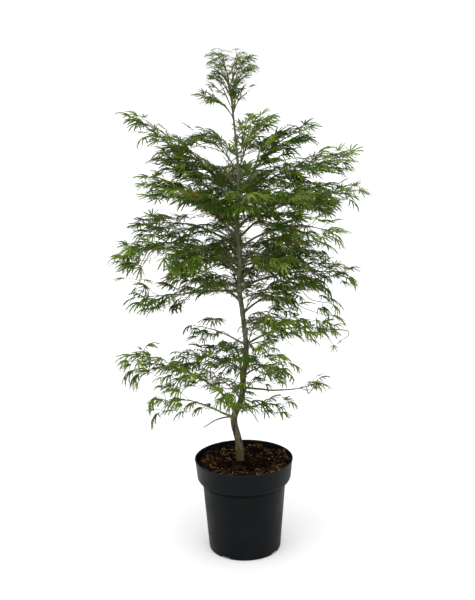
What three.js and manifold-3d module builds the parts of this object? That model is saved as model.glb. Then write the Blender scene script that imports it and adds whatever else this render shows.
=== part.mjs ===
// Potted laceleaf maple: a young tree with finely cut leaves, standing in its black nursery pot of compost.
// Units are millimetres and +Z is up. The origin is the centre of the pot's underside, and -Y is the front.
// A limb's dir is its compass direction in degrees: 0 is +X, 90 is +Y and 270 is the front.
import * as THREE from "three";
import { mergeVertices } from "three/addons/utils/BufferGeometryUtils.js";
import Module from "manifold-3d";

const wasm = await Module();
wasm.setup();

// Clearance that neighbouring solids keep
const FIT = 0.3;

// Sizes of the slivers that joining leaves and that are smoothed away: each is tried in turn
const SLIVERS = [0.1, 0.15, 0.2, 0.3];

// Pot: a tapered container with a deep rim band, a foot ring and a central foot
const POT_HEIGHT = 185;
const RIM_RADIUS = 95;
const BAND_RADIUS = 91;
const BAND_DEPTH = 36;
const SHOULDER_DEPTH = 48;
const BODY_RADIUS = 80.5;
const BASE_RADIUS = 70;
const WALL = 1.8;
const FLOOR_UNDER = 5;
const FLOOR_TOP = 7.5;
const FOOT_RING = 5;
const CENTRE_FOOT = 20;
const CORNER = 4;
const POT_SIDES = 24;
const DRAINS = 4;
const DRAIN_RADIUS = 6;
const DRAIN_RING = 48;
const NOTCH_WIDTH = 21;
const NOTCH_HEIGHT = 4.5;
const NOTCH_TURN = -34;

// Compost: filled to a little under the rim, level round the trunk's foot and rough elsewhere
const SOIL_LEVEL = 172;
const SOIL_ROUGHNESS = 3;
const SOIL_FLAT = 27;

// Trunk stations from just under the compost's level, where the trunk is cut flat, to the tip: height,
// sideways and backward position, radius
const TRUNK = [
  { z: 168, x: -7, y: 14, r: 7.2 },
  { z: 195, x: -8, y: 14, r: 7.8 },
  { z: 217, x: -10.5, y: 14, r: 7.0 },
  { z: 260, x: -18, y: 12, r: 6.6 },
  { z: 301, x: -3, y: 10, r: 5.9 },
  { z: 346, x: 1.5, y: 10, r: 5.4 },
  { z: 392, x: 7.5, y: 12, r: 4.9 },
  { z: 470, x: 1.5, y: 14, r: 4.7 },
  { z: 517, x: -4, y: 14, r: 4.7 },
  { z: 590, x: -2.5, y: 14, r: 4.5 },
  { z: 633, x: -6.5, y: 14, r: 3.7 },
  { z: 722, x: -2.5, y: 16, r: 2.8 },
  { z: 788, x: -6, y: 16, r: 2.2 },
  { z: 868, x: -13.5, y: 16, r: 1.6 },
  { z: 915, x: -20, y: 16, r: 1.2 },
];
const TRUNK_SIDES = 8;
const TRUNK_STEPS = 26;

// Leaves: lobes fan from a hub, and a stalk runs back from it into the twig
const LOBE = 52;
const LOBE_TURNS = [0, 38, -38, 78, -78];
const LOBE_SHARES = [1, 0.94, 0.94, 0.7, 0.7];
const LOBE_DROOP = 0.14;
// How far out the notches lie beside the middle lobe and between the others, as shares of a lobe
const NOTCH_INNER = 0.45;
const NOTCH_OUTER = 0.38;
const HUB_RADIUS = 3;
const STALK = 16;
const LONG_STALK = 36;
const STALK_ROOT = 1.4;
const STALK_BEND = 0.3;
const LEAF_THICKNESS = 3;
// What a leaf tries, until it fits: its size, and how far it swings aside in degrees
const LEAF_TRIES = [
  [1, 0],
  [1, 22],
  [1, -22],
  [0.85, 0],
  [0.85, 40],
  [0.85, -40],
  [0.7, 0],
  [0.7, 30],
  [0.7, -30],
];

// A mass's space reaches this many lobes behind its first leaf and ahead of its stem's end, and since
// foliage hangs, it is centred this share of its depth below the stem
const SPACE_BEHIND = 0.45;
const SPACE_AHEAD = 1.25;
const HANG = 0.18;

// Twigs: three-sided, in opposite pairs along each spray's stem
const TWIG_RADIUS = 1.7;
const TWIG_TIP = 1.5;
const TWIG_ANGLE = 52;
// Where a twig bears leaves: the share of its length, and the leaf's turn from it in degrees
const TWIG_LEAVES = [
  [0.97, 10],
  [0.55, -62],
  [0.6, 58],
];
const NODE_SPACING = 25;
// The first part of a stem that grows from the trunk bears no leaves
const BARE_STEM = 26;
const LIMB_CLEARANCE = 5;
// What a leaf keeps from the leaves of other masses, beyond what it keeps from those of its own
const MASS_CLEARANCE = 6;
// How much deeper a leaf's hub may lie in a neighbour's space than in its own
const TRESPASS = 0.12;
const LOBE_CLEARANCE = 2.8;

// Limbs. Each leaves the trunk at height foot in compass direction dir, climbing at lift degrees, and ends
// reach out and rise up from there, heading at nod degrees. The first part of it, up to the share bare of
// its length, is a bough; the rest is the stem of a mass of foliage. Where bare is 0 the stem grows from the
// trunk itself. The mass keeps to a space that is wide to each side of its stem and deep above and below,
// and its leaves are scaled by leaf. The columns are:
// name, foot, dir, lift, reach, rise, nod, bare, wide, deep, leaf
const LIMBS = [
  ["low_left", 263, 200, 22, 122, 48, -8, 0.4, 46, 46, 1],
  ["long_left", 276, 181, 60, 184, 104, 8, 0.3, 62, 50, 1],
  ["fan_left", 352, 150, 42, 125, 20, 0, 0, 60, 48, 1],
  ["shelf_left", 407, 187, 34, 82, 40, 14, 0.5, 50, 36, 0.9],
  ["low_front", 318, 258, 30, 84, 24, 4, 0, 58, 48, 1],
  ["low_right", 281, 346, 4, 78, 14, -6, 0, 48, 42, 1],
  ["whip_right", 324, 357, -6, 132, 4, 18, 0.9, 44, 38, 0.8],
  ["low_right_back", 345, 32, 34, 84, 10, -10, 0, 60, 48, 1],
  ["low_back", 336, 98, 38, 100, 44, 0, 0, 68, 50, 1],
  ["arm_right", 407, 351, 40, 144, 36, -6, 0.36, 50, 44, 1],
  ["mid_right_front", 448, 316, 28, 110, 28, -2, 0, 58, 46, 1],
  ["rise_right", 468, 20, 42, 124, 36, -4, 0.34, 58, 48, 1],
  ["reach_right", 516, 2, 30, 184, 30, -4, 0.32, 54, 46, 1],
  ["mid_right_back", 528, 46, 38, 152, 54, -4, 0, 68, 50, 1],
  ["shelf_mid_left", 512, 190, 8, 172, 0, 2, 0.48, 58, 44, 1],
  ["fan_mid_left", 491, 150, 40, 140, 52, 0, 0, 60, 48, 1],
  ["arch_left", 542, 177, 54, 200, 44, -34, 0.42, 58, 50, 1],
  ["mid_left_front", 566, 220, 32, 146, 30, -14, 0, 60, 50, 1],
  ["mid_back", 470, 100, 40, 134, 60, 0, 0, 72, 50, 1],
  ["long_upper_left", 640, 183, 50, 172, 188, 32, 0.32, 52, 46, 1],
  ["rise_upper_left", 662, 158, 54, 104, 120, 36, 0, 58, 50, 1],
  ["spread_left", 612, 194, 50, 150, 112, 16, 0.34, 60, 50, 1],
  ["shelf_upper_left", 588, 172, 48, 164, 52, -6, 0.36, 60, 48, 1],
  ["upper_left_front", 622, 236, 46, 128, 80, 12, 0, 62, 50, 1],
  ["upper_front", 648, 280, 42, 114, 58, 8, 0, 62, 50, 1],
  ["upper_right_front", 630, 318, 44, 132, 68, 4, 0, 62, 50, 1],
  ["tip_right", 634, 1, 44, 204, 66, 4, 0.36, 54, 46, 1],
  ["hang_right", 612, 24, 44, 176, 52, -22, 0, 56, 50, 1],
  ["shelf_upper_right", 592, 342, 44, 164, 44, -14, 0.34, 58, 48, 1],
  ["rise_upper_right", 664, 12, 44, 194, 92, 12, 0.34, 54, 46, 1],
  ["crown_right", 694, 350, 56, 112, 116, 20, 0.34, 54, 48, 1],
  ["upper_back", 640, 84, 44, 130, 74, 4, 0, 74, 52, 1],
  ["upper_back_left", 600, 126, 40, 138, 66, -2, 0, 70, 52, 1],
  ["crown_left", 735, 176, 60, 70, 64, 12, 0.4, 50, 46, 0.85],
  ["crown_back", 738, 44, 64, 58, 82, 30, 0, 54, 50, 0.9],
  ["top_left", 834, 185, 58, 40, 36, 6, 0, 36, 32, 0.6],
  ["top_mid_left", 872, 196, 56, 22, 30, 30, 0, 34, 34, 0.6],
  ["top_mid_right", 848, 350, 56, 28, 30, 20, 0, 38, 38, 0.65],
  ["top_right", 892, 8, 58, 20, 34, 38, 0, 38, 40, 0.65],
  ["top", 915, 165, 78, 10, 15, 42, 0, 46, 34, 0.6],
];
// How strongly a limb keeps to its lift and its nod, as a share of its span
const LIMB_BEND = 0.36;
const BOUGH_SIDES = 5;
const BOUGH_STEPS = 5;
const BOUGH_TIP = 1.6;
// A stem starts this far beyond its bough's tip
const STEM_GAP = 0.45;
const STEM_ROOT = 2.2;
const STEM_STEPS = 3;

const UP = new THREE.Vector3(0, 0, 1);
const radians = THREE.MathUtils.degToRad;

// A repeatable source of numbers from 0 to 1
function seeded(seed) {
  let state = seed;
  return () => (state = (state * 16807) % 2147483647) / 2147483647;
}

// A closed geometry as a solid that can be cut and joined
function solidOf(geometry) {
  const bare = new THREE.BufferGeometry().setAttribute("position", geometry.getAttribute("position"));
  const merged = mergeVertices(bare.setIndex(geometry.index), 1e-4);
  return new wasm.Manifold(
    new wasm.Mesh({
      numProp: 3,
      vertProperties: merged.attributes.position.array,
      triVerts: new Uint32Array(merged.index.array),
    }),
  );
}

// True if two edges of a mesh lie on each other, as where a join leaves a pinch
function pinched(mesh) {
  const place = (v) => Array.from(mesh.vertProperties.subarray(v * mesh.numProp, v * mesh.numProp + 3));
  const keys = Array.from({ length: mesh.numVert }, (_, v) => place(v).map((x) => x.toFixed(3)).join());
  const seen = new Set();
  for (let i = 0; i < mesh.triVerts.length; i++) {
    const next = i % 3 === 2 ? i - 2 : i + 1;
    const edge = keys[mesh.triVerts[i]] + " " + keys[mesh.triVerts[next]];
    if (seen.has(edge)) return true;
    seen.add(edge);
  }
  return false;
}

// The largest body of a solid, without slivers, as a geometry
function geometryOf(solid) {
  const smoothed = SLIVERS.map((sliver) => {
    const bodies = solid.asOriginal().simplify(sliver).decompose();
    return bodies.sort((a, b) => b.volume() - a.volume())[0].getMesh();
  });
  const mesh = smoothed.find((m) => !pinched(m)) ?? smoothed.at(-1);
  const vertices = new Float32Array(mesh.numVert * 3);
  for (let i = 0; i < mesh.numVert; i++) {
    vertices.set(mesh.vertProperties.subarray(i * mesh.numProp, i * mesh.numProp + 3), i * 3);
  }
  const geometry = new THREE.BufferGeometry();
  geometry.setAttribute("position", new THREE.BufferAttribute(vertices, 3));
  geometry.setIndex(new THREE.BufferAttribute(new Uint32Array(mesh.triVerts), 1));
  geometry.computeVertexNormals();
  return geometry;
}

// A tapering limb: a capped cylinder whose rings are laid along path(t), with radius(t)
function limbGeometry(path, radius, sides, steps) {
  const tube = new THREE.CylinderGeometry(1, 1, 1, sides, steps);
  const position = tube.getAttribute("position");
  const chord = path(1).sub(path(0)).normalize();
  const guide = chord.z > 0.9 ? new THREE.Vector3(1, 0, 0) : UP;
  const rings = [];
  for (let i = 0; i <= steps; i++) {
    const t = i / steps;
    const tangent = path(Math.min(1, t + 0.01)).sub(path(Math.max(0, t - 0.01))).normalize();
    const side = new THREE.Vector3().crossVectors(tangent, guide).normalize();
    rings.push({ centre: path(t), side, up: new THREE.Vector3().crossVectors(side, tangent), r: radius(t) });
  }
  for (let i = 0; i < position.count; i++) {
    const ring = rings[Math.round((position.getY(i) + 0.5) * steps)];
    const place = ring.centre.clone().addScaledVector(ring.side, position.getX(i) * ring.r);
    place.addScaledVector(ring.up, position.getZ(i) * ring.r);
    position.setXYZ(i, place.x, place.y, place.z);
  }
  return tube;
}

// A profile of [radius, height] points turned about +Z
function turned(profile) {
  const points = profile.map(([r, z]) => new THREE.Vector2(r, z));
  return new THREE.LatheGeometry(points, POT_SIDES).rotateX(Math.PI / 2);
}

function potGeometry() {
  const bandFoot = POT_HEIGHT - BAND_DEPTH;
  const shoulder = POT_HEIGHT - SHOULDER_DEPTH;
  const shell = turned([
    [0, 0],
    [CENTRE_FOOT, 0],
    [CENTRE_FOOT + 1, FLOOR_UNDER],
    [BASE_RADIUS - FOOT_RING - 1, FLOOR_UNDER],
    [BASE_RADIUS - FOOT_RING, 0],
    [BASE_RADIUS - CORNER * 0.8, 0],
    [BASE_RADIUS - CORNER * 0.2, CORNER * 0.5],
    [BASE_RADIUS, CORNER + 2],
    [BODY_RADIUS, shoulder],
    [BAND_RADIUS - 1, bandFoot - 2.5],
    [BAND_RADIUS, bandFoot],
    [RIM_RADIUS - 0.5, POT_HEIGHT - 3],
    [RIM_RADIUS, POT_HEIGHT],
    [RIM_RADIUS - WALL, POT_HEIGHT],
    [RIM_RADIUS - WALL - 0.5, POT_HEIGHT - 3],
    [BAND_RADIUS - WALL, bandFoot + 1],
    [BODY_RADIUS - WALL, shoulder + 1.5],
    [BASE_RADIUS - WALL, FLOOR_TOP],
    [0, FLOOR_TOP],
  ]);
  let pot = solidOf(shell);
  for (let i = 0; i < DRAINS; i++) {
    const turn = radians(270 + NOTCH_TURN + (360 / DRAINS) * i);
    const notch = new THREE.BoxGeometry(FOOT_RING * 4, NOTCH_WIDTH, NOTCH_HEIGHT * 2);
    notch.translate(BASE_RADIUS, 0, 0).rotateZ(turn);
    pot = pot.subtract(solidOf(notch));
    const hole = new THREE.CylinderGeometry(DRAIN_RADIUS, DRAIN_RADIUS, FLOOR_TOP * 2, 8);
    hole.rotateX(Math.PI / 2).translate(DRAIN_RING, 0, FLOOR_TOP).rotateZ(turn);
    pot = pot.subtract(solidOf(hole));
  }
  return geometryOf(pot);
}

function soilGeometry() {
  const shoulder = POT_HEIGHT - SHOULDER_DEPTH;
  const gap = WALL + FIT * 2;
  const bandRise = (SOIL_LEVEL - POT_HEIGHT + BAND_DEPTH) / (BAND_DEPTH - 3);
  const topRadius = THREE.MathUtils.lerp(BAND_RADIUS, RIM_RADIUS - 0.5, bandRise) - gap;
  const soil = turned([
    [0, FLOOR_TOP + FIT],
    [BASE_RADIUS - gap, FLOOR_TOP + FIT],
    [BODY_RADIUS - gap - 0.1, shoulder + 1.5],
    [BAND_RADIUS - gap - 0.2, POT_HEIGHT - BAND_DEPTH + 1],
    [topRadius, SOIL_LEVEL],
    [topRadius * 0.8, SOIL_LEVEL],
    [topRadius * 0.55, SOIL_LEVEL],
    [SOIL_FLAT, SOIL_LEVEL],
    [0, SOIL_LEVEL],
  ]);
  const position = soil.getAttribute("position");
  for (let i = 0; i < position.count; i++) {
    const x = position.getX(i);
    const y = position.getY(i);
    const away = Math.hypot(x, y) - SOIL_FLAT;
    if (position.getZ(i) < SOIL_LEVEL - 1 || away < 1) continue;
    const bump = Math.sin(x * 0.23) * Math.cos(y * 0.19) + Math.sin(x * 0.11 + y * 0.16);
    position.setZ(i, SOIL_LEVEL + bump * SOIL_ROUGHNESS * 0.5 * Math.min(1, away / 12));
  }
  return geometryOf(solidOf(soil));
}

// The trunk's centre line and radius, by height
const stations = TRUNK.map((s) => new THREE.Vector3(s.x, s.y, s.z));
const trunkCurve = new THREE.CatmullRomCurve3(stations, false, "centripetal");
const trunkLine = trunkCurve.getPoints(TRUNK_STEPS * 4);

function trunkRadius(z) {
  const i = Math.max(1, TRUNK.findIndex((s) => s.z >= z));
  const [a, b] = z > TRUNK.at(-1).z ? TRUNK.slice(-2) : [TRUNK[i - 1], TRUNK[i]];
  return THREE.MathUtils.lerp(a.r, b.r, Math.min(1, Math.max(0, (z - a.z) / (b.z - a.z))));
}

function trunkAt(z) {
  const i = Math.max(1, trunkLine.findIndex((p) => p.z >= z));
  const [a, b] = [trunkLine[i - 1], trunkLine[i]];
  return a.clone().lerp(b, (z - a.z) / (b.z - a.z));
}

function trunkGeometry(extra) {
  const path = (t) => trunkCurve.getPoint(t);
  return limbGeometry(path, (t) => trunkRadius(path(t).z) + extra, TRUNK_SIDES, TRUNK_STEPS);
}

// A heading from a compass direction and a climb, both in degrees
function heading(dir, climb) {
  const [a, c] = [radians(dir), radians(climb)];
  return new THREE.Vector3(Math.cos(a) * Math.cos(c), Math.sin(a) * Math.cos(c), Math.sin(c));
}

// A limb's centre line, from the trunk's to its end
function limbCurve(limb) {
  const start = trunkAt(limb.foot);
  const end = start.clone().addScaledVector(heading(limb.dir, 0), limb.reach).addScaledVector(UP, limb.rise);
  const pull = start.distanceTo(end) * LIMB_BEND;
  const leaving = start.clone().addScaledVector(heading(limb.dir, limb.lift), pull);
  const arriving = end.clone().addScaledVector(heading(limb.dir, limb.nod), -pull);
  return new THREE.CubicBezierCurve3(start, leaving, arriving, end);
}

// Adds to each limb its bough's path, its stem's path and the ellipsoid that its leaves keep to
function laidOut([name, foot, dir, lift, reach, rise, nod, bare, wide, deep, leaf]) {
  const limb = { name, foot, dir, lift, reach, rise, nod, bare, wide, deep, leaf };
  const curve = limbCurve(limb);
  const length = curve.getLength();
  const stemStart = limb.bare + STEM_GAP / length;
  const boughPath = (t) => curve.getPointAt(t * limb.bare);
  const corners = [];
  for (let i = 0; i <= STEM_STEPS; i++) {
    corners.push(curve.getPointAt(THREE.MathUtils.lerp(stemStart, 1, i / STEM_STEPS)));
  }
  const path = (t) => {
    const i = Math.min(Math.floor(t * STEM_STEPS), STEM_STEPS - 1);
    return corners[i].clone().lerp(corners[i + 1], t * STEM_STEPS - i);
  };
  const stem = length * (1 - stemStart);
  const leafless = limb.bare ? 0 : Math.min(0.4, BARE_STEM / stem);
  const chord = path(1).sub(path(leafless));
  const long = (chord.length() + LOBE * (SPACE_BEHIND + SPACE_AHEAD)) / 2;
  const forward = chord.normalize();
  const across = new THREE.Vector3().crossVectors(UP, forward).normalize();
  const above = new THREE.Vector3().crossVectors(forward, across);
  const centre = path(leafless).addScaledVector(forward, long - LOBE * SPACE_BEHIND);
  centre.addScaledVector(UP, -limb.deep * HANG);
  const sizes = [long, limb.wide, limb.deep];
  return { ...limb, boughPath, path, stem, leafless, centre, axes: [forward, across, above], sizes };
}

// How far out a point is in a spray's ellipsoid: 0 at its centre and 1 on its skin
function level(point, spray) {
  const offset = point.clone().sub(spray.centre);
  return Math.hypot(...spray.axes.map((axis, i) => offset.dot(axis) / spray.sizes[i]));
}

// A point is a spray's own if it lies in its ellipsoid and deeper there than in any other
function ownedBy(spray, point, sprays) {
  const own = level(point, spray);
  return own <= 1 && sprays.every((other) => other === spray || level(point, other) > own - TRESPASS);
}

// The bars that leaves keep clear of: straight lengths of limb, twig, stalk or lobe, each with a clearance
function barsOf(path, steps, clearance) {
  const bars = [];
  for (let i = 0; i < steps; i++) {
    bars.push({ line: new THREE.Line3(path(i / steps), path((i + 1) / steps)), clearance });
  }
  return bars;
}

function clearOf(bars, line) {
  return bars.every((bar) => bar.line.distanceSqToLine3(line) > bar.clearance ** 2);
}

// One leaf on a twig at root, growing along outward: its stalk bends down a little into its blade
function leafAt(root, outward, size, stalk, tilt, droop) {
  const ahead = new THREE.Vector3(outward.x, outward.y, outward.z * 0.5 - droop).normalize();
  const flat = new THREE.Vector3().crossVectors(UP, ahead).normalize();
  const normal = new THREE.Vector3().crossVectors(ahead, flat).applyAxisAngle(ahead, tilt);
  const side = new THREE.Vector3().crossVectors(normal, ahead);
  const stalkWay = ahead.clone().addScaledVector(normal, STALK_BEND).normalize();
  const hub = root.clone().addScaledVector(stalkWay, stalk * size);
  const tips = LOBE_TURNS.map((turn, i) => {
    const length = LOBE * size * LOBE_SHARES[i];
    const way = ahead.clone().multiplyScalar(Math.cos(radians(turn)));
    way.addScaledVector(side, Math.sin(radians(turn))).addScaledVector(normal, -LOBE_DROOP);
    return hub.clone().addScaledVector(way, length);
  });
  return { root, hub, tips, ahead, side, normal, stalkWay, size };
}

// The lengths that a leaf takes up: its lobes, and the outer part of its stalk
const LEAF_BARS = LOBE_TURNS.length + 1;

function leafBars(leaf) {
  const lobes = leaf.tips.map((tip) => new THREE.Line3(leaf.hub, tip));
  const stalk = new THREE.Line3(leaf.root.clone().lerp(leaf.hub, 0.5), leaf.hub);
  return [...lobes, stalk].map((line) => ({ line, clearance: LOBE_CLEARANCE }));
}

// The radius of a limb at its foot
const footRadius = (limb) => Math.min(3.4, 1.7 + limb.reach * 0.008, trunkRadius(limb.foot) * 0.7);

// Grows a spray by rule: opposite side twigs along the stem, leaves at their tips and joints
function growSpray(spray, sprays, limbs, random) {
  const taken = [...limbs, ...barsOf(spray.path, STEM_STEPS, LOBE_CLEARANCE)];
  const twigs = [];
  const leaves = [];
  const fits = (leaf) =>
    ownedBy(spray, leaf.hub, sprays) &&
    leaf.tips.every((tip) => level(tip, spray) <= 1) &&
    leafBars(leaf).every((bar) => clearOf(taken, bar.line));
  const tryLeaf = (root, outward, stalk) => {
    const [tilt, droop] = [(random() - 0.5) * 1.3, 0.2 + random() * 0.7];
    for (const [size, swing] of LEAF_TRIES) {
      const way = outward.clone().applyAxisAngle(UP, radians(swing));
      const leaf = leafAt(root, way, size * spray.leaf, stalk, tilt, droop);
      if (!fits(leaf)) continue;
      leaves.push(leaf);
      taken.push(...leafBars(leaf));
      return true;
    }
    return false;
  };
  const forward = spray.path(1).sub(spray.path(0.8)).normalize();
  for (const turn of [0, 62, -62]) {
    tryLeaf(spray.path(0.97), forward.clone().applyAxisAngle(UP, radians(turn)), STALK);
  }
  const joints = Math.round((spray.stem * (1 - spray.leafless)) / NODE_SPACING);
  for (let joint = 0; joint < joints; joint++) {
    const t = spray.leafless + (1 - spray.leafless) * ((joint + 0.4) / joints);
    const from = spray.path(t);
    const along = spray.path(t + 0.02).sub(spray.path(t - 0.02)).normalize();
    for (const hand of [1, -1]) {
      const reach = spray.wide * (0.34 + 0.26 * random());
      const outward = along.clone().applyAxisAngle(UP, hand * radians(TWIG_ANGLE));
      outward.addScaledVector(UP, 0.95 * random()).normalize();
      const to = from.clone().addScaledVector(outward, reach);
      const borne = TWIG_LEAVES.filter(([share, turn]) => {
        const way = outward.clone().applyAxisAngle(UP, hand * radians(turn));
        return tryLeaf(from.clone().lerp(to, share), way, STALK);
      });
      if (borne.length < 2) {
        taken.length -= borne.length * LEAF_BARS;
        leaves.length -= borne.length;
        tryLeaf(from, outward, LONG_STALK);
        continue;
      }
      const end = from.clone().lerp(to, Math.max(...borne.map(([share]) => share)) + 0.03);
      twigs.push({ from, to: end });
      taken.push({ line: new THREE.Line3(from, end), clearance: LOBE_CLEARANCE });
    }
  }
  return { twigs, leaves, taken: taken.slice(limbs.length) };
}

// A leaf's solid: a cone whose rim becomes the lobes, the notches between them and the stalk
function leafSolid(leaf) {
  const star = new THREE.ConeGeometry(1, 1, 12, 1);
  const position = star.getAttribute("position");
  const inPlane = (turn, length) => {
    const point = leaf.hub.clone().addScaledVector(leaf.ahead, Math.cos(radians(turn)) * length * leaf.size);
    return point.addScaledVector(leaf.side, Math.sin(radians(turn)) * length * leaf.size);
  };
  const rim = [
    leaf.tips[0],
    inPlane(19, LOBE * NOTCH_INNER),
    leaf.tips[1],
    inPlane(58, LOBE * NOTCH_OUTER),
    leaf.tips[3],
    inPlane(150, HUB_RADIUS),
    leaf.root.clone().addScaledVector(leaf.stalkWay, -STALK_ROOT),
    inPlane(-150, HUB_RADIUS),
    leaf.tips[4],
    inPlane(-58, LOBE * NOTCH_OUTER),
    leaf.tips[2],
    inPlane(-19, LOBE * NOTCH_INNER),
  ];
  for (let i = 0; i < position.count; i++) {
    const [x, y, z] = [position.getX(i), position.getY(i), position.getZ(i)];
    const slot = (Math.round((Math.atan2(x, z) / Math.PI) * 6) + 12) % 12;
    const face = leaf.hub.clone().addScaledVector(leaf.normal, Math.sign(y) * LEAF_THICKNESS * 0.5);
    const place = Math.hypot(x, z) > 0.5 ? rim[slot] : face;
    position.setXYZ(i, place.x, place.y, place.z);
  }
  return solidOf(star);
}

function spraySolid(spray, grown) {
  const thick = spray.bare ? BOUGH_TIP : Math.min(STEM_ROOT, footRadius(spray));
  const taper = (t) => THREE.MathUtils.lerp(thick, TWIG_RADIUS, t);
  let solid = solidOf(limbGeometry(spray.path, taper, 3, STEM_STEPS));
  for (const { from, to } of grown.twigs) {
    const path = (t) => from.clone().lerp(to, t);
    const thinning = (t) => THREE.MathUtils.lerp(TWIG_RADIUS, TWIG_TIP, t);
    solid = solid.add(solidOf(limbGeometry(path, thinning, 3, 1)));
  }
  for (const leaf of grown.leaves) solid = solid.add(leafSolid(leaf));
  return solid;
}

const FINISH = {
  pot: new THREE.MeshStandardMaterial({ color: 0x1c1d1f, roughness: 0.5, metalness: 0 }),
  soil: new THREE.MeshStandardMaterial({ color: 0x2e2013, roughness: 0.95, metalness: 0 }),
  bark: new THREE.MeshStandardMaterial({ color: 0x625946, roughness: 0.85, metalness: 0 }),
  bough: new THREE.MeshStandardMaterial({ color: 0x4b4a2b, roughness: 0.75, metalness: 0 }),
  leaf: new THREE.MeshStandardMaterial({ color: 0x3e6a17, roughness: 0.55, metalness: 0 }),
};

const plant = new THREE.Group();

function addNode(name, geometry, material) {
  const mesh = new THREE.Mesh(geometry, material.clone());
  mesh.name = name;
  plant.add(mesh);
}

addNode("pot", potGeometry(), FINISH.pot);
addNode("compost", soilGeometry(), FINISH.soil);
const trunk = solidOf(trunkGeometry(0)).trimByPlane([0, 0, 1], SOIL_LEVEL + FIT);
addNode("trunk", geometryOf(trunk), FINISH.bark);

const socket = solidOf(trunkGeometry(FIT + 0.1));
const sprays = LIMBS.map(laidOut);
const limbs = barsOf((t) => trunkCurve.getPoint(t), TRUNK_STEPS, LIMB_CLEARANCE + 6);
for (const limb of sprays.filter((l) => l.bare)) {
  const taper = (t) => THREE.MathUtils.lerp(footRadius(limb), BOUGH_TIP, t ** 0.8);
  const bough = limbGeometry(limb.boughPath, taper, BOUGH_SIDES, BOUGH_STEPS);
  addNode("bough_" + limb.name, geometryOf(solidOf(bough).subtract(socket)), FINISH.bough);
  limbs.push(...barsOf(limb.boughPath, BOUGH_STEPS, LIMB_CLEARANCE + 2));
}

// What every mass takes up: at first its bare stem, then its leaves too, with more room round them
const claims = new Map(sprays.map((s) => [s.name, barsOf(s.path, STEM_STEPS, LIMB_CLEARANCE + 1)]));

sprays.forEach((spray, i) => {
  const others = [...claims].filter(([name]) => name !== spray.name).flatMap(([, bars]) => bars);
  const grown = growSpray(spray, sprays, [...limbs, ...others], seeded(1009 + i * 7919));
  const solid = spraySolid(spray, grown);
  claims.set(spray.name, grown.taken.map((bar) => ({ ...bar, clearance: bar.clearance + MASS_CLEARANCE })));
  addNode("leaves_" + spray.name, geometryOf(spray.bare ? solid : solid.subtract(socket)), FINISH.leaf);
});

export default plant;
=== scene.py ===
import math
import random

import bmesh
import bpy
import numpy as np
from mathutils import Matrix, Vector, noise


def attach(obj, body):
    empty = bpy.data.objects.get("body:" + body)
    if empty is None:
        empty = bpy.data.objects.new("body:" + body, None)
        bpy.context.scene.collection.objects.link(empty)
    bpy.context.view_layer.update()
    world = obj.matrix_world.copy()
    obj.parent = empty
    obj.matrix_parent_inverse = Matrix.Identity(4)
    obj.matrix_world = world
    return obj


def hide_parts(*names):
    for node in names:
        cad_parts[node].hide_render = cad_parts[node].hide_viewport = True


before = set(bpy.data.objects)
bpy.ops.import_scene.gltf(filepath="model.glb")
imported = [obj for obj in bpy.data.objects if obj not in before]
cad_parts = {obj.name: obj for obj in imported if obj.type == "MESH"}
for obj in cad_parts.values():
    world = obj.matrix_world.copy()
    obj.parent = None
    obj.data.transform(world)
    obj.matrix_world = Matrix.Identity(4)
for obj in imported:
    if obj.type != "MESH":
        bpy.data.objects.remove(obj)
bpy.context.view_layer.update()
MM = 0.001


# Pot
# An injection-moulded nursery container of thin black polypropylene. A deep rim band steps in to a tapered
# body, and four notches in its foot let water out from the holes in its raised floor.
POT_STEPS = 128
# The wall as radius and height, from the middle of the underside, up the outside and down the inside
POT_OUTSIDE = [
    (0, 0), (19.4, 0), (20, 0.5), (20.8, 4.5), (21.5, 5), (63.4, 5), (64.3, 4.4), (65, 0.6), (65.6, 0),
    (67, 0), (68.4, 0.6), (69.3, 2), (69.9, 4.2), (70.4, 8), (80.3, 134.6), (80.7, 136.2), (82.6, 136.9),
    (84.6, 138.6), (88.4, 143), (90, 145.8), (90.7, 148.4), (94.1, 181.2), (94.9, 182.6), (95, 183.8),
    (94.8, 184.7), (94.3, 185),
]
POT_INSIDE = [
    (93.7, 184.9), (93.3, 184.2), (92.6, 180), (89, 149), (87.6, 145.4), (79.2, 138.4), (78.6, 136.4),
    (68.6, 9), (67, 7.5), (0, 7.5),
]
# The drain holes and the notches share their four directions
DRAIN_TURNS = [236, 326, 56, 146]
DRAIN_RADIUS = 6
DRAIN_DEPTH = 16
DRAIN_SIDES = 28
DRAIN_RING = 48
NOTCH_SIZE = (20, 21, 9)
NOTCH_ROUNDING = 1.4
NOTCH_RING = 70
# Heights at which the painted shade under the band begins, is full, fades and ends, and of the painted lip
# highlight
BAND_SHADE_HEIGHTS = (133.5, 135.2, 138.5, 146)
LIP_HIGHLIGHT_HEIGHTS = (183.8, 184.8)
PLASTIC = (0.003, 0.0038, 0.0046)
PLASTIC_WORN = (0.0065, 0.0075, 0.0086)
# Colour of the painted shade under the band
PAINTED_BAND_SHADE = (0.0008, 0.0008, 0.0009)
# Colour of the painted highlight on the lip
PAINTED_LIP_HIGHLIGHT = (0.014, 0.02, 0.025)
DUST = (0.1, 0.09, 0.075)


class Shade:
    """A number in a material: arithmetic on it adds Math nodes."""

    def __init__(self, nodes, socket):
        self.nodes = nodes
        self.socket = socket

    def math(self, operation, *values):
        return self.nodes.node("ShaderNodeMath", {"operation": operation}, dict(enumerate(values)))

    def __add__(self, other):
        return self.math("ADD", self, other)

    def __sub__(self, other):
        return self.math("SUBTRACT", self, other)

    def __rsub__(self, other):
        return self.math("SUBTRACT", other, self)

    def __mul__(self, other):
        return self.math("MULTIPLY", self, other)

    __radd__ = __add__
    __rmul__ = __mul__


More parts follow.
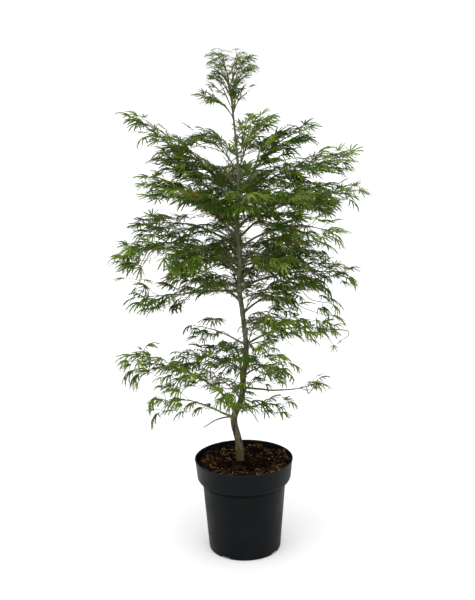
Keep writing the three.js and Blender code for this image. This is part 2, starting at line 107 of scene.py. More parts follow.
class Nodes:
    """The nodes of a material or of the light all round."""

    def __init__(self, tree):
        self.tree = tree

    def node(self, kind, settings=None, sockets=None, output=0):
        """Adds a node, sets it up, fills or links its sockets and gives one of its outputs."""
        node = self.tree.nodes.new(kind)
        for name, value in (settings or {}).items():
            if name == "stops":
                self.set_stops(node.color_ramp, value)
            else:
                setattr(node, name, value)
        for name, value in (sockets or {}).items():
            self.put(node.inputs[name], value)
        return Shade(self, node.outputs[output])

    def set_stops(self, ramp, stops):
        while len(ramp.elements) < len(stops):
            ramp.elements.new(1)
        for element, (place, colour) in zip(ramp.elements, stops):
            element.position = place
            element.color = (*colour, 1)

    def put(self, socket, value):
        if isinstance(value, Shade):
            self.tree.links.new(value.socket, socket)
        elif socket.type == "RGBA" and len(value) == 3:
            socket.default_value = (*value, 1)
        else:
            socket.default_value = value


class Finish(Nodes):
    """A material being built round one Principled shader, whose plain sockets are given by name."""

    def __init__(self, name, **plain):
        self.material = bpy.data.materials.new(name)
        self.material.use_nodes = True
        super().__init__(self.material.node_tree)
        self.surface = self.tree.nodes["Principled BSDF"]
        for socket, value in plain.items():
            self.surface.inputs[socket.replace("_", " ")].default_value = value

    def place(self, stretch=(1, 1, 1)):
        """Object coordinates, stretched."""
        spot = self.node("ShaderNodeTexCoord", output="Object")
        return self.node("ShaderNodeMapping", {}, {"Vector": spot, "Scale": stretch})

    def along(self, axis):
        """How far along X or Z a place is."""
        return self.node("ShaderNodeSeparateXYZ", {}, {"Vector": self.place()}, output=axis)

    def attribute(self, name, output="Fac"):
        """A value or a colour that the mesh carries."""
        return self.node("ShaderNodeAttribute", {"attribute_name": name}, output=output)

    def clouds(self, scale, detail=3, stretch=(1, 1, 1), roughness=0.5):
        """Soft noise from about 0.3 to 0.7."""
        sockets = {"Vector": self.place(stretch), "Scale": scale, "Detail": detail, "Roughness": roughness}
        return self.node("ShaderNodeTexNoise", {}, sockets)

    def specks(self, scale, stretch=(1, 1, 1)):
        """The distance to the nearest of many scattered points."""
        return self.node("ShaderNodeTexVoronoi", {}, {"Vector": self.place(stretch), "Scale": scale})

    def ramp(self, value, low, high):
        """0 where value is under low, 1 where it is over high, smooth between."""
        settings = {"interpolation_type": "SMOOTHSTEP"}
        sockets = {"Value": value, "From Min": low, "From Max": high}
        return self.node("ShaderNodeMapRange", settings, sockets)

    def rise(self, value, start, full):
        """0 before start and 1 from full on, in millimetres."""
        return self.ramp(value, start * MM, full * MM)

    def belt(self, value, start, full, fading, end):
        """1 from full to fading, and 0 before start and after end, in millimetres."""
        return self.rise(value, start, full) * self.rise(value, end, fading)

    def mix(self, share, first, second):
        """A colour between two."""
        sockets = {"Factor": share, 6: first, 7: second}
        return self.node("ShaderNodeMix", {"data_type": "RGBA"}, sockets, output=2)

    def finish(self, colour, roughness, relief=None, depth=0.0):
        """Links the colour, the roughness and a bump of that depth in millimetres to the shader."""
        self.put(self.surface.inputs["Base Color"], colour)
        self.put(self.surface.inputs["Roughness"], roughness)
        if relief is not None:
            bump = self.node("ShaderNodeBump", {}, {"Height": relief, "Distance": depth * MM})
            self.put(self.surface.inputs["Normal"], bump)
        return self.material


def spun(profile, steps):
    """A closed body turned about the upright axis, from a profile of radius and height."""
    body = bmesh.new()
    corners = [body.verts.new((r * MM, 0, z * MM)) for r, z in profile]
    edges = [body.edges.new(pair) for pair in zip(corners, corners[1:])]
    bmesh.ops.spin(
        body, geom=corners + edges, cent=(0, 0, 0), axis=(0, 0, 1),
        angle=math.tau, steps=steps, use_merge=True,
    )
    bmesh.ops.remove_doubles(body, verts=body.verts, dist=0.001 * MM)
    bmesh.ops.recalc_face_normals(body, faces=body.faces)
    return body


def mesh_of(body, name):
    """Turns a bmesh into a mesh."""
    mesh = bpy.data.meshes.new(name)
    body.to_mesh(mesh)
    body.free()
    return mesh


def shown(name, data):
    """Puts a mesh, a light or a camera in the scene, at the origin."""
    thing = bpy.data.objects.new(name, data)
    bpy.context.scene.collection.objects.link(thing)
    return thing


def placed(name, shape, material, nodes=(), crease=35):
    """Makes a mesh or a bmesh a piece that stands for CAD nodes and rides on the plant's one body."""
    mesh = mesh_of(shape, name) if isinstance(shape, bmesh.types.BMesh) else shape
    mesh.name = name
    mesh.shade_smooth()
    mesh.set_sharp_from_angle(angle=math.radians(crease))
    mesh.materials.append(material)
    piece = shown(name, mesh)
    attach(piece, "root")
    if nodes:
        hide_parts(*nodes)


def cut(body, cutters):
    """Takes one bmesh of cutters out of another."""
    shapes = [shown("shape", mesh_of(shape, "shape")) for shape in (body, cutters)]
    saw = shapes[0].modifiers.new("cut", "BOOLEAN")
    saw.operation = "DIFFERENCE"
    saw.solver = "EXACT"
    saw.object = shapes[1]
    seen = bpy.context.evaluated_depsgraph_get()
    result = bmesh.new()
    result.from_mesh(shapes[0].evaluated_get(seen).to_mesh())
    for shape in shapes:
        bpy.data.objects.remove(shape)
    return result


def pot_drains():
    """The four holes and the four notches, as solids to cut away."""
    drains = bmesh.new()
    radius = DRAIN_RADIUS * MM
    depth = DRAIN_DEPTH * MM
    for turn in DRAIN_TURNS:
        swing = Matrix.Rotation(math.radians(turn), 4, "Z")
        hole = swing @ Matrix.Translation((DRAIN_RING * MM, 0, depth / 2))
        bmesh.ops.create_cone(
            drains, cap_ends=True, segments=DRAIN_SIDES, radius1=radius, radius2=radius, depth=depth,
            matrix=hole,
        )
        size = Matrix.Diagonal((*[side * MM for side in NOTCH_SIZE], 1))
        notch = swing @ Matrix.Translation((NOTCH_RING * MM, 0, 0)) @ size
        made = bmesh.ops.create_cube(drains, size=1, matrix=notch)["verts"]
        edges = list(dict.fromkeys(edge for vert in made for edge in vert.link_edges))
        bmesh.ops.bevel(
            drains, geom=edges, offset=NOTCH_ROUNDING * MM, affect="EDGES", segments=3, profile=0.5,
            material=-1,
        )
    return drains


def plastic_finish():
    """Black plastic: satin, faintly clouded, with dried splashes and fine scuffs."""
    finish = Finish("black_plastic", IOR=1.49, Specular_IOR_Level=0.07)
    clouded = finish.ramp(finish.clouds(26, 4), 0.38, 0.68)
    scuffs = finish.ramp(finish.clouds(70, 2, (1, 1, 9)), 0.66, 0.74)
    patches = finish.ramp(finish.clouds(14, 2), 0.5, 0.66)
    dust = finish.ramp(finish.specks(120), 0.075, 0.04) * finish.ramp(finish.clouds(48, 2), 0.52, 0.62)
    colour = finish.mix(clouded * 0.5 + scuffs * patches * 0.6, PLASTIC, PLASTIC_WORN)
    height = finish.along("Z")
    # Painted shade on the step under the band, which is also made rougher there
    band_shade_mask = finish.belt(height, *BAND_SHADE_HEIGHTS)
    colour = finish.mix(band_shade_mask * 0.85, colour, PAINTED_BAND_SHADE)
    # A painted highlight along the top of the lip
    colour = finish.mix(finish.rise(height, *LIP_HIGHLIGHT_HEIGHTS), colour, PAINTED_LIP_HIGHLIGHT)
    colour = finish.mix(dust * 0.75, colour, DUST)
    grain = finish.clouds(1500, 2) + finish.clouds(160, 2) * 1.4
    rough = 0.4 + clouded * 0.12 + scuffs * 0.1 + dust * 0.3 + band_shade_mask * 0.4
    return finish.finish(colour, rough, grain, 0.05)


pot = cut(spun(POT_OUTSIDE + POT_INSIDE, POT_STEPS), pot_drains())
placed("pot_shell", pot, plastic_finish(), ["pot"], crease=28)


# Compost
# Dark peat filled to a little under the rim and watered down, so that coarse fibre, bark crumbs and
# splinters of wood lie on top in reddish clumps, with a few white grains of perlite among them.
SOIL_LEVEL = 171.6
SOIL_EDGE = 91
SOIL_RINGS = 44
SOIL_STEPS = 180
# The filling's underside and sides, as radius and height
SOIL_SIDES = [(0, 8.2), (67, 8.2), (77.8, 138), (86.8, 147)]
# How far the surface lies under the soil level between its heaps
SOIL_SUNK = 2
# Heaps and hollows in the surface: sideways, backward, how wide they are and how high
SOIL_HEAPS = [
    (-64, 36, 20, 12), (-76, -4, 15, 7), (64, 42, 20, 11), (77, 8, 14, 9), (28, 70, 20, 12),
    (-22, 74, 20, 12), (-30, 46, 11, 4), (48, -50, 22, 5), (-46, -56, 20, 4), (0, -78, 20, 2),
    (-50, 0, 13, 4), (38, 14, 12, 3), (16, 28, 11, -6), (-28, -8, 14, -6), (-50, 20, 10, -5),
    (12, -26, 14, -4), (46, 28, 9, -4), (-7, 9, 11, 5),
]
# Lumps all over it, from coarse to fine: how wide, how high, and the layer of noise that each is read from
SOIL_LUMPS = [(11, 3.2, 3), (3.6, 1.9, 9), (1.7, 1, 20)]
# The wet hollow before the trunk: sideways, backward, and how far it spreads each way
WET_HOLLOW = (8, 4, 40, 34)
# Loose bits lie within this reach of the middle, and clear of the trunk's foot
SOIL_REACH = 88
PERLITE_REACH = 84
CLUMP_REACH = 86
TRUNK_FOOT = (-7, 14)
FOOT_CLEARANCE = 12
SCATTER_BATCH = 50
# Tufts of fibre caught at the rim: sideways, backward, and the heights of foot and tip
TUFTS = [(79, 24, 172, 193), (-70, 16, 174, 192), (-64, 22, 174, 186), (84, 6, 172, 186), (70, 34, 174, 188)]
PEAT_DARK = (0.001, 0.0006, 0.0003)
PEAT = (0.0042, 0.0024, 0.0011)
FIBRE = (0.052, 0.025, 0.009)
FIBRE_DARK = (0.014, 0.007, 0.003)
FIBRE_PALE = (0.12, 0.06, 0.024)
BARK_CHIP = (0.19, 0.108, 0.044)
SPLINTER = (0.4, 0.25, 0.12)
PERLITE_DULL = (0.35, 0.32, 0.26)
PERLITE = (0.72, 0.7, 0.64)
WOOD_STOPS = [(0, PEAT_DARK), (0.3, PEAT), (0.5, FIBRE), (0.75, BARK_CHIP), (1, SPLINTER)]
CRUMB_STOPS = [(0, PEAT_DARK), (0.6, PEAT), (1, FIBRE)]
PERLITE_STOPS = [(0, PERLITE_DULL), (1, PERLITE)]


def soil_height(x, y):
    """The height of the compost's surface at a place, all in millimetres."""
    height = SOIL_LEVEL - SOIL_SUNK
    for a, b, wide, high in SOIL_HEAPS:
        height += high * math.exp(-((x - a) ** 2 + (y - b) ** 2) / wide**2)
    for wide, high, layer in SOIL_LUMPS:
        height += high * noise.noise(Vector((x, y, layer)) / wide)
    return height


def soil_body():
    """A closed filling whose top carries the relief."""
    top = [(SOIL_EDGE * (1 - i / SOIL_RINGS), SOIL_LEVEL) for i in range(SOIL_RINGS + 1)]
    body = spun(SOIL_SIDES + top, SOIL_STEPS)
    for vert in body.verts:
        x, y, z = vert.co / MM
        if z > SOIL_LEVEL - 1:
            vert.co.z = soil_height(x, y) * MM
    return body


def peat_finish():
    finish = Finish("peat", Specular_IOR_Level=0.04)
    lumps = finish.clouds(140, 5, roughness=0.65)
    fibrous = finish.ramp(finish.clouds(420, 3, (1, 0.35, 1)), 0.46, 0.66)
    reddish = finish.ramp(finish.clouds(38, 3), 0.44, 0.62)
    colour = finish.mix(finish.ramp(lumps, 0.36, 0.66), PEAT_DARK, PEAT)
    colour = finish.mix(fibrous * reddish * 0.55, colour, FIBRE)
    relief = lumps + finish.clouds(900, 3) * 0.5
    return finish.finish(colour, 0.92, relief, 0.9)


placed("compost_surface", soil_body(), peat_finish(), ["compost"], crease=60)


def wet_patch(x, y):
    """How dark and wet the compost is at a place: 1 in the wet hollow, less towards the rim."""
    a, b, wide, deep = WET_HOLLOW
    hollow = math.exp(-((x - a) / wide) ** 2 - ((y - b) / deep) ** 2)
    return min(1, max(0, hollow + noise.noise(Vector((x, y, 41)) / 15) * 1.1))


def on_soil(chance, reach=SOIL_REACH):
    """A random place on the compost, clear of the trunk."""
    while True:
        ring = reach * math.sqrt(chance.random())
        turn = chance.random() * math.tau
        x, y = ring * math.cos(turn), ring * math.sin(turn)
        if math.dist((x, y), TRUNK_FOOT) > FOOT_CLEARANCE:
            return x, y


def coloured_finish(name, stops, rough, scale, depth, shine=0.03):
    """A finish whose colour follows each bit's own tone, with fine streaks."""
    finish = Finish(name, Specular_IOR_Level=shine)
    streaks = finish.clouds(scale, 3)
    tone = finish.attribute("tone") + (streaks - 0.5) * 0.5
    value = finish.node("ShaderNodeClamp", {}, {"Value": tone})
    colour = finish.node("ShaderNodeValToRGB", {"stops": stops}, {"Fac": value})
    return finish.finish(colour, rough, streaks, depth)


def scattered(count, seed, make, tones, reach=SOIL_REACH):
    """Many small bodies on the compost, each with a tone of its own."""
    chance = random.Random(seed)
    whole = bmesh.new()
    for first in range(0, count, SCATTER_BATCH):
        batch = bmesh.new()
        layer = batch.verts.layers.float.new("tone")
        for _ in range(min(SCATTER_BATCH, count - first)):
            x, y = on_soil(chance, reach)
            spot = Matrix.Translation((x * MM, y * MM, soil_height(x, y) * MM))
            turn = Matrix.Rotation(chance.random() * math.tau, 4, "Z")
            tone = chance.uniform(*tones) * (1 - 0.8 * wet_patch(x, y))
            for vert in make(batch, spot @ turn, chance):
                vert[layer] = tone
        mesh = mesh_of(batch, "batch")
        whole.from_mesh(mesh)
        bpy.data.meshes.remove(mesh)
    return whole


def splinter(body, spot, chance):
    """A sliver of wood or bark: a long block, tapered and a little bent."""
    long = chance.choice([4, 5, 6, 8, 10, 14])
    wide = chance.uniform(0.7, 1.5)
    thick = chance.uniform(0.5, 1)
    pitch = Matrix.Rotation(chance.uniform(-0.45, 0.45), 4, "Y")
    lean = pitch @ Matrix.Rotation(chance.uniform(-1, 1), 4, "X")
    size = Matrix.Diagonal((long * MM, wide * MM, thick * MM, 1))
    rise = Matrix.Translation((0, 0, chance.uniform(0, 1.4) * MM))
    verts = bmesh.ops.create_cube(body, size=1)["verts"]
    for vert in verts:
        if vert.co.x > 0:
            vert.co.y *= chance.uniform(0.2, 0.8)
            vert.co.z += chance.uniform(-0.2, 0.6)
    bmesh.ops.transform(body, matrix=spot @ rise @ lean @ size, verts=verts)
    return verts


def knob(body, matrix, chance, least, most):
    """A small ball whose corners are moved in and out by chance."""
    verts = bmesh.ops.create_icosphere(body, subdivisions=1, radius=0.5)["verts"]
    for vert in verts:
        vert.co *= chance.uniform(least, most)
    bmesh.ops.transform(body, matrix=matrix, verts=verts)
    return verts


def crumb(body, spot, chance):
    """A knob of peat or bark."""
    size = [chance.uniform(1.4, 3.6) * MM for _ in range(3)]
    return knob(body, spot @ Matrix.Diagonal((*size, 1)), chance, 0.65, 1.25)


def grain(body, spot, chance):
    """A grain of perlite or pale grit."""
    size = chance.choice([0.8, 1, 1.2, 1.5, 2.2]) * MM
    rise = Matrix.Translation((0, 0, size * 0.4))
    return knob(body, spot @ rise @ Matrix.Scale(size, 4), chance, 0.75, 1.15)


def tubes(name, lines, sides):
    """Tapering round tubes as one mesh: each line is a list of places and radii, in millimetres."""
    strands = bpy.data.curves.new(name, "CURVE")
    strands.dimensions = "3D"
    strands.bevel_depth = MM
    strands.bevel_resolution = sides // 2 - 2
    strands.use_fill_caps = True
    for line in lines:
        spline = strands.splines.new("POLY")
        spline.points.add(len(line) - 1)
        for point, (place, radius) in zip(spline.points, line):
            point.co = (*(place * MM), 1)
            point.radius = radius
    holder = bpy.data.objects.new(name, strands)
    mesh = bpy.data.meshes.new_from_object(holder)
    bpy.data.objects.remove(holder)
    bpy.data.curves.remove(strands)
    return mesh


def fibre_lines(clumps, strands, seed):
    """Curly strands of coarse fibre, gathered in clumps that stand a little proud."""
    chance = random.Random(seed)
    lines = []
    for _ in range(clumps):
        x, y = on_soil(chance, CLUMP_REACH)
        for _ in range(strands):
            start = Vector((x + chance.gauss(0, 5), y + chance.gauss(0, 5), 0))
            if start.xy.length > SOIL_REACH:
                continue
            start.z = soil_height(start.x, start.y) - 0.5
            turn = chance.random() * math.tau
            long = chance.uniform(4, 13)
            way = Vector((math.cos(turn), math.sin(turn), chance.uniform(0.1, 0.9))) * long / 3
            bend = Vector((chance.gauss(0, 1), chance.gauss(0, 1), -abs(chance.gauss(0, 1.2))))
            thick = chance.uniform(0.2, 0.42)
            places = [start + way * k + bend * (k * k / 4) for k in range(4)]
            inside = [p for p in places if p.xy.length < SOIL_EDGE - 1]
            if len(inside) > 1:
                lines.append([(p, thick * (1 - 0.25 * k)) for k, p in enumerate(inside)])
    return lines


def tuft_lines(places, strands, seed):
    """Tufts of fibre that stand up at the rim, each from its foot to its tip."""
    chance = random.Random(seed)
    lines = []
    for x, y, foot, tip in places:
        for _ in range(strands):
            start = Vector((x + chance.gauss(0, 2), y + chance.gauss(0, 2), foot))
            reach = (tip - foot) * chance.uniform(0.5, 1)
            end = Vector((x + chance.gauss(0, 1.6), y + chance.gauss(0, 1.6), foot + reach))
            middle = start.lerp(end, 0.5) + Vector((chance.gauss(0, 0.8), chance.gauss(0, 0.8), 0))
            lines.append([(start, 1.1), (middle, 0.9), (end, 0.4)])
    return lines


def fibre_finish():
    finish = Finish("coarse_fibre", Specular_IOR_Level=0.08)
    mottled = finish.ramp(finish.clouds(150, 2), 0.4, 0.6)
    return finish.finish(finish.mix(mottled, FIBRE_DARK, FIBRE_PALE), 0.85)


splinters = scattered(760, 11, splinter, (0.05, 0.95))
placed("wood_splinters", splinters, coloured_finish("splintered_wood", WOOD_STOPS, 0.8, 900, 0.2))
crumbs = scattered(1500, 12, crumb, (0, 0.9))
placed("peat_crumbs", crumbs, coloured_finish("peat_crumb", CRUMB_STOPS, 0.95, 1200, 0.3))
grains = scattered(46, 13, grain, (0.6, 1), PERLITE_REACH)
placed("perlite_grains", grains, coloured_finish("perlite", PERLITE_STOPS, 0.85, 1600, 0.2))
fibres = tubes("fibres", fibre_lines(46, 20, 14) + tuft_lines(TUFTS, 14, 15), 4)
placed("coarse_fibres", fibres, fibre_finish())


# Trunk
# A slender young trunk with a swelling where it was grafted, a green film of algae on that side, shallow
# cracks and breathing pores across the bark, and raised collars where boughs leave it.
TRUNK_STEP = 1.6
TRUNK_SIDES = 20
# The trunk's height, place sideways and backward, and radius, from below the soil to the tip
TRUNK = [
    (160, -7, 14, 8.4), (168, -7, 14, 7.4), (195, -8, 14, 7.8), (217, -10.5, 14, 7), (260, -18, 12, 6.6),
    (301, -3, 10, 5.9), (346, 1.5, 10, 5.4), (392, 7.5, 12, 4.9), (470, 1.5, 14, 4.7), (517, -4, 14, 4.7),
    (590, -2.5, 14, 4.5), (633, -6.5, 14, 3.7), (722, -2.5, 16, 2.8), (788, -6, 16, 2.2),
    (868, -13.5, 16, 1.6), (915, -20, 16, 1.2),
]
BARK_DEPTH = 0.55
COLLAR_HEIGHT = 0.7
# The film of algae by its heights, and sideways from where it starts to where it is full
ALGAE_FILM = (168, 176, 197, 200)
ALGAE_SIDE = (5.5, 0.5)
ALGAE_RAGGED = 12
# The stretch with painted shade among the low boughs, and the heights between which the bark turns green
SHADED_STRETCH = (284, 300, 372, 400)
YOUNG_STRETCH = (300, 620)
BARK = (0.108, 0.095, 0.059)
BARK_PALE = (0.2, 0.174, 0.118)
BARK_DARK = (0.032, 0.025, 0.014)
BARK_SHADED = (0.03, 0.022, 0.012)
BARK_YOUNG = (0.13, 0.14, 0.08)
SCAR = (0.26, 0.2, 0.15)
ALGAE = (0.062, 0.058, 0.01)


def smooth_line(places, steps):
    """A line through all the places, with steps points in each stretch (centripetal Catmull-Rom)."""
    ends = [places[0] * 2 - places[1], *places, places[-1] * 2 - places[-2]]
    line = []
    for a, b, c, d in zip(ends, ends[1:], ends[2:], ends[3:]):
        p, q, r = [(v - u).length ** 0.5 for u, v in ((a, b), (b, c), (c, d))]
        leaving = ((b - a) / p - (c - a) / (p + q) + (c - b) / q) * q
        arriving = ((c - b) / q - (d - b) / (q + r) + (d - c) / r) * q
        for i in range(steps):
            t = i / steps
            line.append(
                b * (2 * t**3 - 3 * t**2 + 1)
                + c * (3 * t**2 - 2 * t**3)
                + leaving * (t**3 - 2 * t**2 + t)
                + arriving * (t**3 - t**2)
            )
    return [*line, places[-1]]


trunk_line = smooth_line([Vector((x, y, z)) for z, x, y, r in TRUNK], 12)


def trunk_at(height):
    """The trunk's centre at a height."""
    i = next(k for k in range(1, len(trunk_line)) if trunk_line[k].z >= height)
    a, b = trunk_line[i - 1], trunk_line[i]
    return a.lerp(b, (height - a.z) / (b.z - a.z))


def trunk_radius(height):
    return float(np.interp(height, [s[0] for s in TRUNK], [s[3] for s in TRUNK]))


# Limbs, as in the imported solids. Each leaves the trunk at height foot in a direction counted in degrees
# from the right over the back, climbing at lift degrees, and ends reach out and rise up from there, heading
# at nod degrees. Up to the share bare of its length it is a bare bough, and the rest is the stem of a mass
# of foliage. The mass keeps to a space that is wide to each side of its stem and deep above and below, and
# its leaves are scaled by leaf. The columns are:
# name, foot, direction, lift, reach, rise, nod, bare, wide, deep, leaf
LIMBS = [
    ("low_left", 263, 200, 22, 122, 48, -8, 0.4, 46, 46, 1),
    ("long_left", 276, 181, 60, 184, 104, 8, 0.3, 62, 50, 1),
    ("fan_left", 352, 150, 42, 125, 20, 0, 0, 60, 48, 1),
    ("shelf_left", 407, 187, 34, 82, 40, 14, 0.5, 50, 36, 0.9),
    ("low_front", 318, 258, 30, 84, 24, 4, 0, 58, 48, 1),
    ("low_right", 281, 346, 4, 78, 14, -6, 0, 48, 42, 1),
    ("whip_right", 324, 357, -6, 132, 4, 18, 0.9, 44, 38, 0.8),
    ("low_right_back", 345, 32, 34, 84, 10, -10, 0, 60, 48, 1),
    ("low_back", 336, 98, 38, 100, 44, 0, 0, 68, 50, 1),
    ("arm_right", 407, 351, 40, 144, 36, -6, 0.36, 50, 44, 1),
    ("mid_right_front", 448, 316, 28, 110, 28, -2, 0, 58, 46, 1),
    ("rise_right", 468, 20, 42, 124, 36, -4, 0.34, 58, 48, 1),
    ("reach_right", 516, 2, 30, 184, 30, -4, 0.32, 54, 46, 1),
    ("mid_right_back", 528, 46, 38, 152, 54, -4, 0, 68, 50, 1),
    ("shelf_mid_left", 512, 190, 8, 172, 0, 2, 0.48, 58, 44, 1),
    ("fan_mid_left", 491, 150, 40, 140, 52, 0, 0, 60, 48, 1),
    ("arch_left", 542, 177, 54, 200, 44, -34, 0.42, 58, 50, 1),
    ("mid_left_front", 566, 220, 32, 146, 30, -14, 0, 60, 50, 1),
    ("mid_back", 470, 100, 40, 134, 60, 0, 0, 72, 50, 1),
    ("long_upper_left", 640, 183, 50, 172, 188, 32, 0.32, 52, 46, 1),
    ("rise_upper_left", 662, 158, 54, 104, 120, 36, 0, 58, 50, 1),
    ("spread_left", 612, 194, 50, 150, 112, 16, 0.34, 60, 50, 1),
    ("shelf_upper_left", 588, 172, 48, 164, 52, -6, 0.36, 60, 48, 1),
    ("upper_left_front", 622, 236, 46, 128, 80, 12, 0, 62, 50, 1),
    ("upper_front", 648, 280, 42, 114, 58, 8, 0, 62, 50, 1),
    ("upper_right_front", 630, 318, 44, 132, 68, 4, 0, 62, 50, 1),
    ("tip_right", 634, 1, 44, 204, 66, 4, 0.36, 54, 46, 1),
    ("hang_right", 612, 24, 44, 176, 52, -22, 0, 56, 50, 1),
    ("shelf_upper_right", 592, 342, 44, 164, 44, -14, 0.34, 58, 48, 1),
    ("rise_upper_right", 664, 12, 44, 194, 92, 12, 0.34, 54, 46, 1),
    ("crown_right", 694, 350, 56, 112, 116, 20, 0.34, 54, 48, 1),
    ("upper_back", 640, 84, 44, 130, 74, 4, 0, 74, 52, 1),
    ("upper_back_left", 600, 126, 40, 138, 66, -2, 0, 70, 52, 1),
    ("crown_left", 735, 176, 60, 70, 64, 12, 0.4, 50, 46, 0.85),
    ("crown_back", 738, 44, 64, 58, 82, 30, 0, 54, 50, 0.9),
    ("top_left", 834, 185, 58, 40, 36, 6, 0, 36, 32, 0.6),
    ("top_mid_left", 872, 196, 56, 22, 30, 30, 0, 34, 34, 0.6),
    ("top_mid_right", 848, 350, 56, 28, 30, 20, 0, 38, 38, 0.65),
    ("top_right", 892, 8, 58, 20, 34, 38, 0, 38, 40, 0.65),
    ("top", 915, 165, 78, 10, 15, 42, 0, 46, 34, 0.6),
]
# Short leafy shoots that fill the crown near the trunk, with the same columns. The solids have none of them
INNER_SHOOTS = [
    ("inner_low_left", 300, 168, 46, 56, 44, 10, 0, 40, 34, 0.8),
    ("inner_low_right", 312, 12, 40, 52, 36, 0, 0, 38, 32, 0.8),
    ("inner_right", 494, 356, 40, 64, 14, -10, 0, 38, 34, 0.85),
    ("inner_mid_left", 556, 176, 44, 92, 44, 0, 0, 40, 34, 0.85),
    ("inner_mid_right", 554, 4, 52, 58, 48, 6, 0, 40, 36, 0.85),
    ("inner_high_left", 690, 188, 62, 30, 62, 60, 0, 32, 34, 0.8),
    ("inner_high_right", 684, 352, 58, 46, 46, 20, 0, 34, 34, 0.8),
    ("inner_back_low", 392, 76, 40, 96, 34, 0, 0, 52, 40, 0.9),
    ("inner_back", 556, 104, 44, 116, 34, 0, 0, 60, 40, 0.9),
    ("inner_back_high", 706, 112, 50, 76, 52, 20, 0, 46, 38, 0.85),
    ("inner_front_left", 520, 226, 34, 96, 18, -10, 0, 44, 36, 0.85),
    ("inner_front_right", 560, 318, 34, 100, 24, -8, 0, 44, 36, 0.85),
    ("inner_front_low", 404, 308, 34, 84, 20, -8, 0, 44, 36, 0.85),
    ("inner_right_low", 470, 338, 50, 42, 46, 20, 0, 34, 34, 0.8),
    ("inner_reach_right", 560, 350, 34, 128, 22, -6, 0, 38, 32, 0.85),
    ("inner_tip_right", 676, 342, 50, 90, 64, 4, 0, 38, 34, 0.85),
    ("inner_crown_right", 690, 8, 50, 108, 32, 0, 0, 38, 32, 0.85),
    ("inner_top_left", 850, 182, 58, 20, 32, 30, 0, 28, 26, 0.6),
    ("inner_top_right", 862, 4, 70, 12, 36, 50, 0, 28, 28, 0.6),
    ("inner_top_front", 836, 286, 60, 15, 30, 40, 0, 28, 28, 0.6),
    ("inner_top_back", 842, 76, 60, 18, 34, 40, 0, 28, 28, 0.6),
    ("inner_top_high", 878, 200, 66, 10, 26, 50, 0, 28, 28, 0.55),
]
UP = Vector((0, 0, 1))
LIMB_BEND = 0.36
LIMB_STEPS = 160
LIMB_TIP = 0.8
# A limb's radius at its foot grows with its reach, up to a greatest radius and a share of the trunk's
LIMB_THIN = 1.7
LIMB_SWELL = 0.008
LIMB_THICKEST = 3.4
LIMB_TRUNK_SHARE = 0.7
INNER_THINNER = 0.6


def heading(direction, climb):
    """The way that points in a direction and climbs, both in degrees."""
    a, c = math.radians(direction), math.radians(climb)
    return Vector((math.cos(a) * math.cos(c), math.sin(a) * math.cos(c), math.sin(c)))


class Limb:
    """A bough and the leafy stem that it runs out into."""

    def __init__(self, name, foot, direction, lift, reach, rise, nod, bare, wide, deep, leaf):
        self.name = name
        self.foot = foot
        self.bare = bare
        self.wide = wide
        self.deep = deep
        self.leaf = leaf
        self.packed = not name.startswith("inner")
        thick = min(LIMB_THICKEST, LIMB_THIN + reach * LIMB_SWELL, trunk_radius(foot) * LIMB_TRUNK_SHARE)
        self.root_radius = thick if self.packed else thick * INNER_THINNER
        start = trunk_at(foot)
        end = start + heading(direction, 0) * reach + UP * rise
        pull = (end - start).length * LIMB_BEND
        leaving = start + heading(direction, lift) * pull
        arriving = end - heading(direction, nod) * pull
        self.points = []
        for i in range(LIMB_STEPS + 1):
            t = i / LIMB_STEPS
            s = 1 - t
            place = start * s**3 + leaving * (3 * s * s * t) + arriving * (3 * s * t * t) + end * t**3
            self.points.append(place)
        gaps = [(b - a).length for a, b in zip(self.points, self.points[1:])]
        self.along = np.concatenate([[0], np.cumsum(gaps)])
        self.length = self.along[-1]

    def at(self, share):
        """The place at a share of the limb's length."""
        distance = max(0, min(1, share)) * self.length
        i = min(int(np.searchsorted(self.along, distance, side="right")), len(self.points) - 1)
        part = (distance - self.along[i - 1]) / (self.along[i] - self.along[i - 1])
        return self.points[i - 1].lerp(self.points[i], part)

    def radius(self, share):
        return self.root_radius + (LIMB_TIP - self.root_radius) * share**0.6


limbs = [Limb(*row) for row in LIMBS + INNER_SHOOTS]


def bark_relief(place, scale):
    """How far the bark stands out at a place, from -1 to 1: long ribs, broken by short cross cracks."""
    ribs = noise.noise(Vector((place.x / 2.6, place.y / 2.6, place.z / 16)) / scale)
    cracks = noise.noise(Vector((place.x / 4, place.y / 4, place.z / 1.7)) / scale)
    lumps = noise.noise(place / (9 * scale))
    return 0.45 * ribs + 0.3 * min(0, cracks + 0.12) + 0.5 * lumps


def collar(place, feet):
    """How far bark swells at a place near the feet of the limbs, given as places and widths."""
    near = sum(math.exp(-((place - foot).length_squared) / wide**2) for foot, wide in feet)
    return COLLAR_HEIGHT * near


def barked(mesh, depth, scale, feet=()):
    """Pushes a smooth limb's skin in and out as bark."""
    normals = [vert.normal.copy() for vert in mesh.vertices]
    for vert, normal in zip(mesh.vertices, normals):
        place = vert.co / MM
        out = bark_relief(place, scale) * depth + collar(place, feet)
        vert.co += normal * out * MM
    return mesh


def even_line(line, step):
    """The points of a line, set evenly about step apart."""
    along = np.concatenate([[0], np.cumsum([(b - a).length for a, b in zip(line, line[1:])])])
    places = np.linspace(0, along[-1], int(along[-1] / step) + 1)
    axes = [np.interp(places, along, [p[i] for p in line]) for i in range(3)]
    return [Vector(p) for p in zip(*axes)]


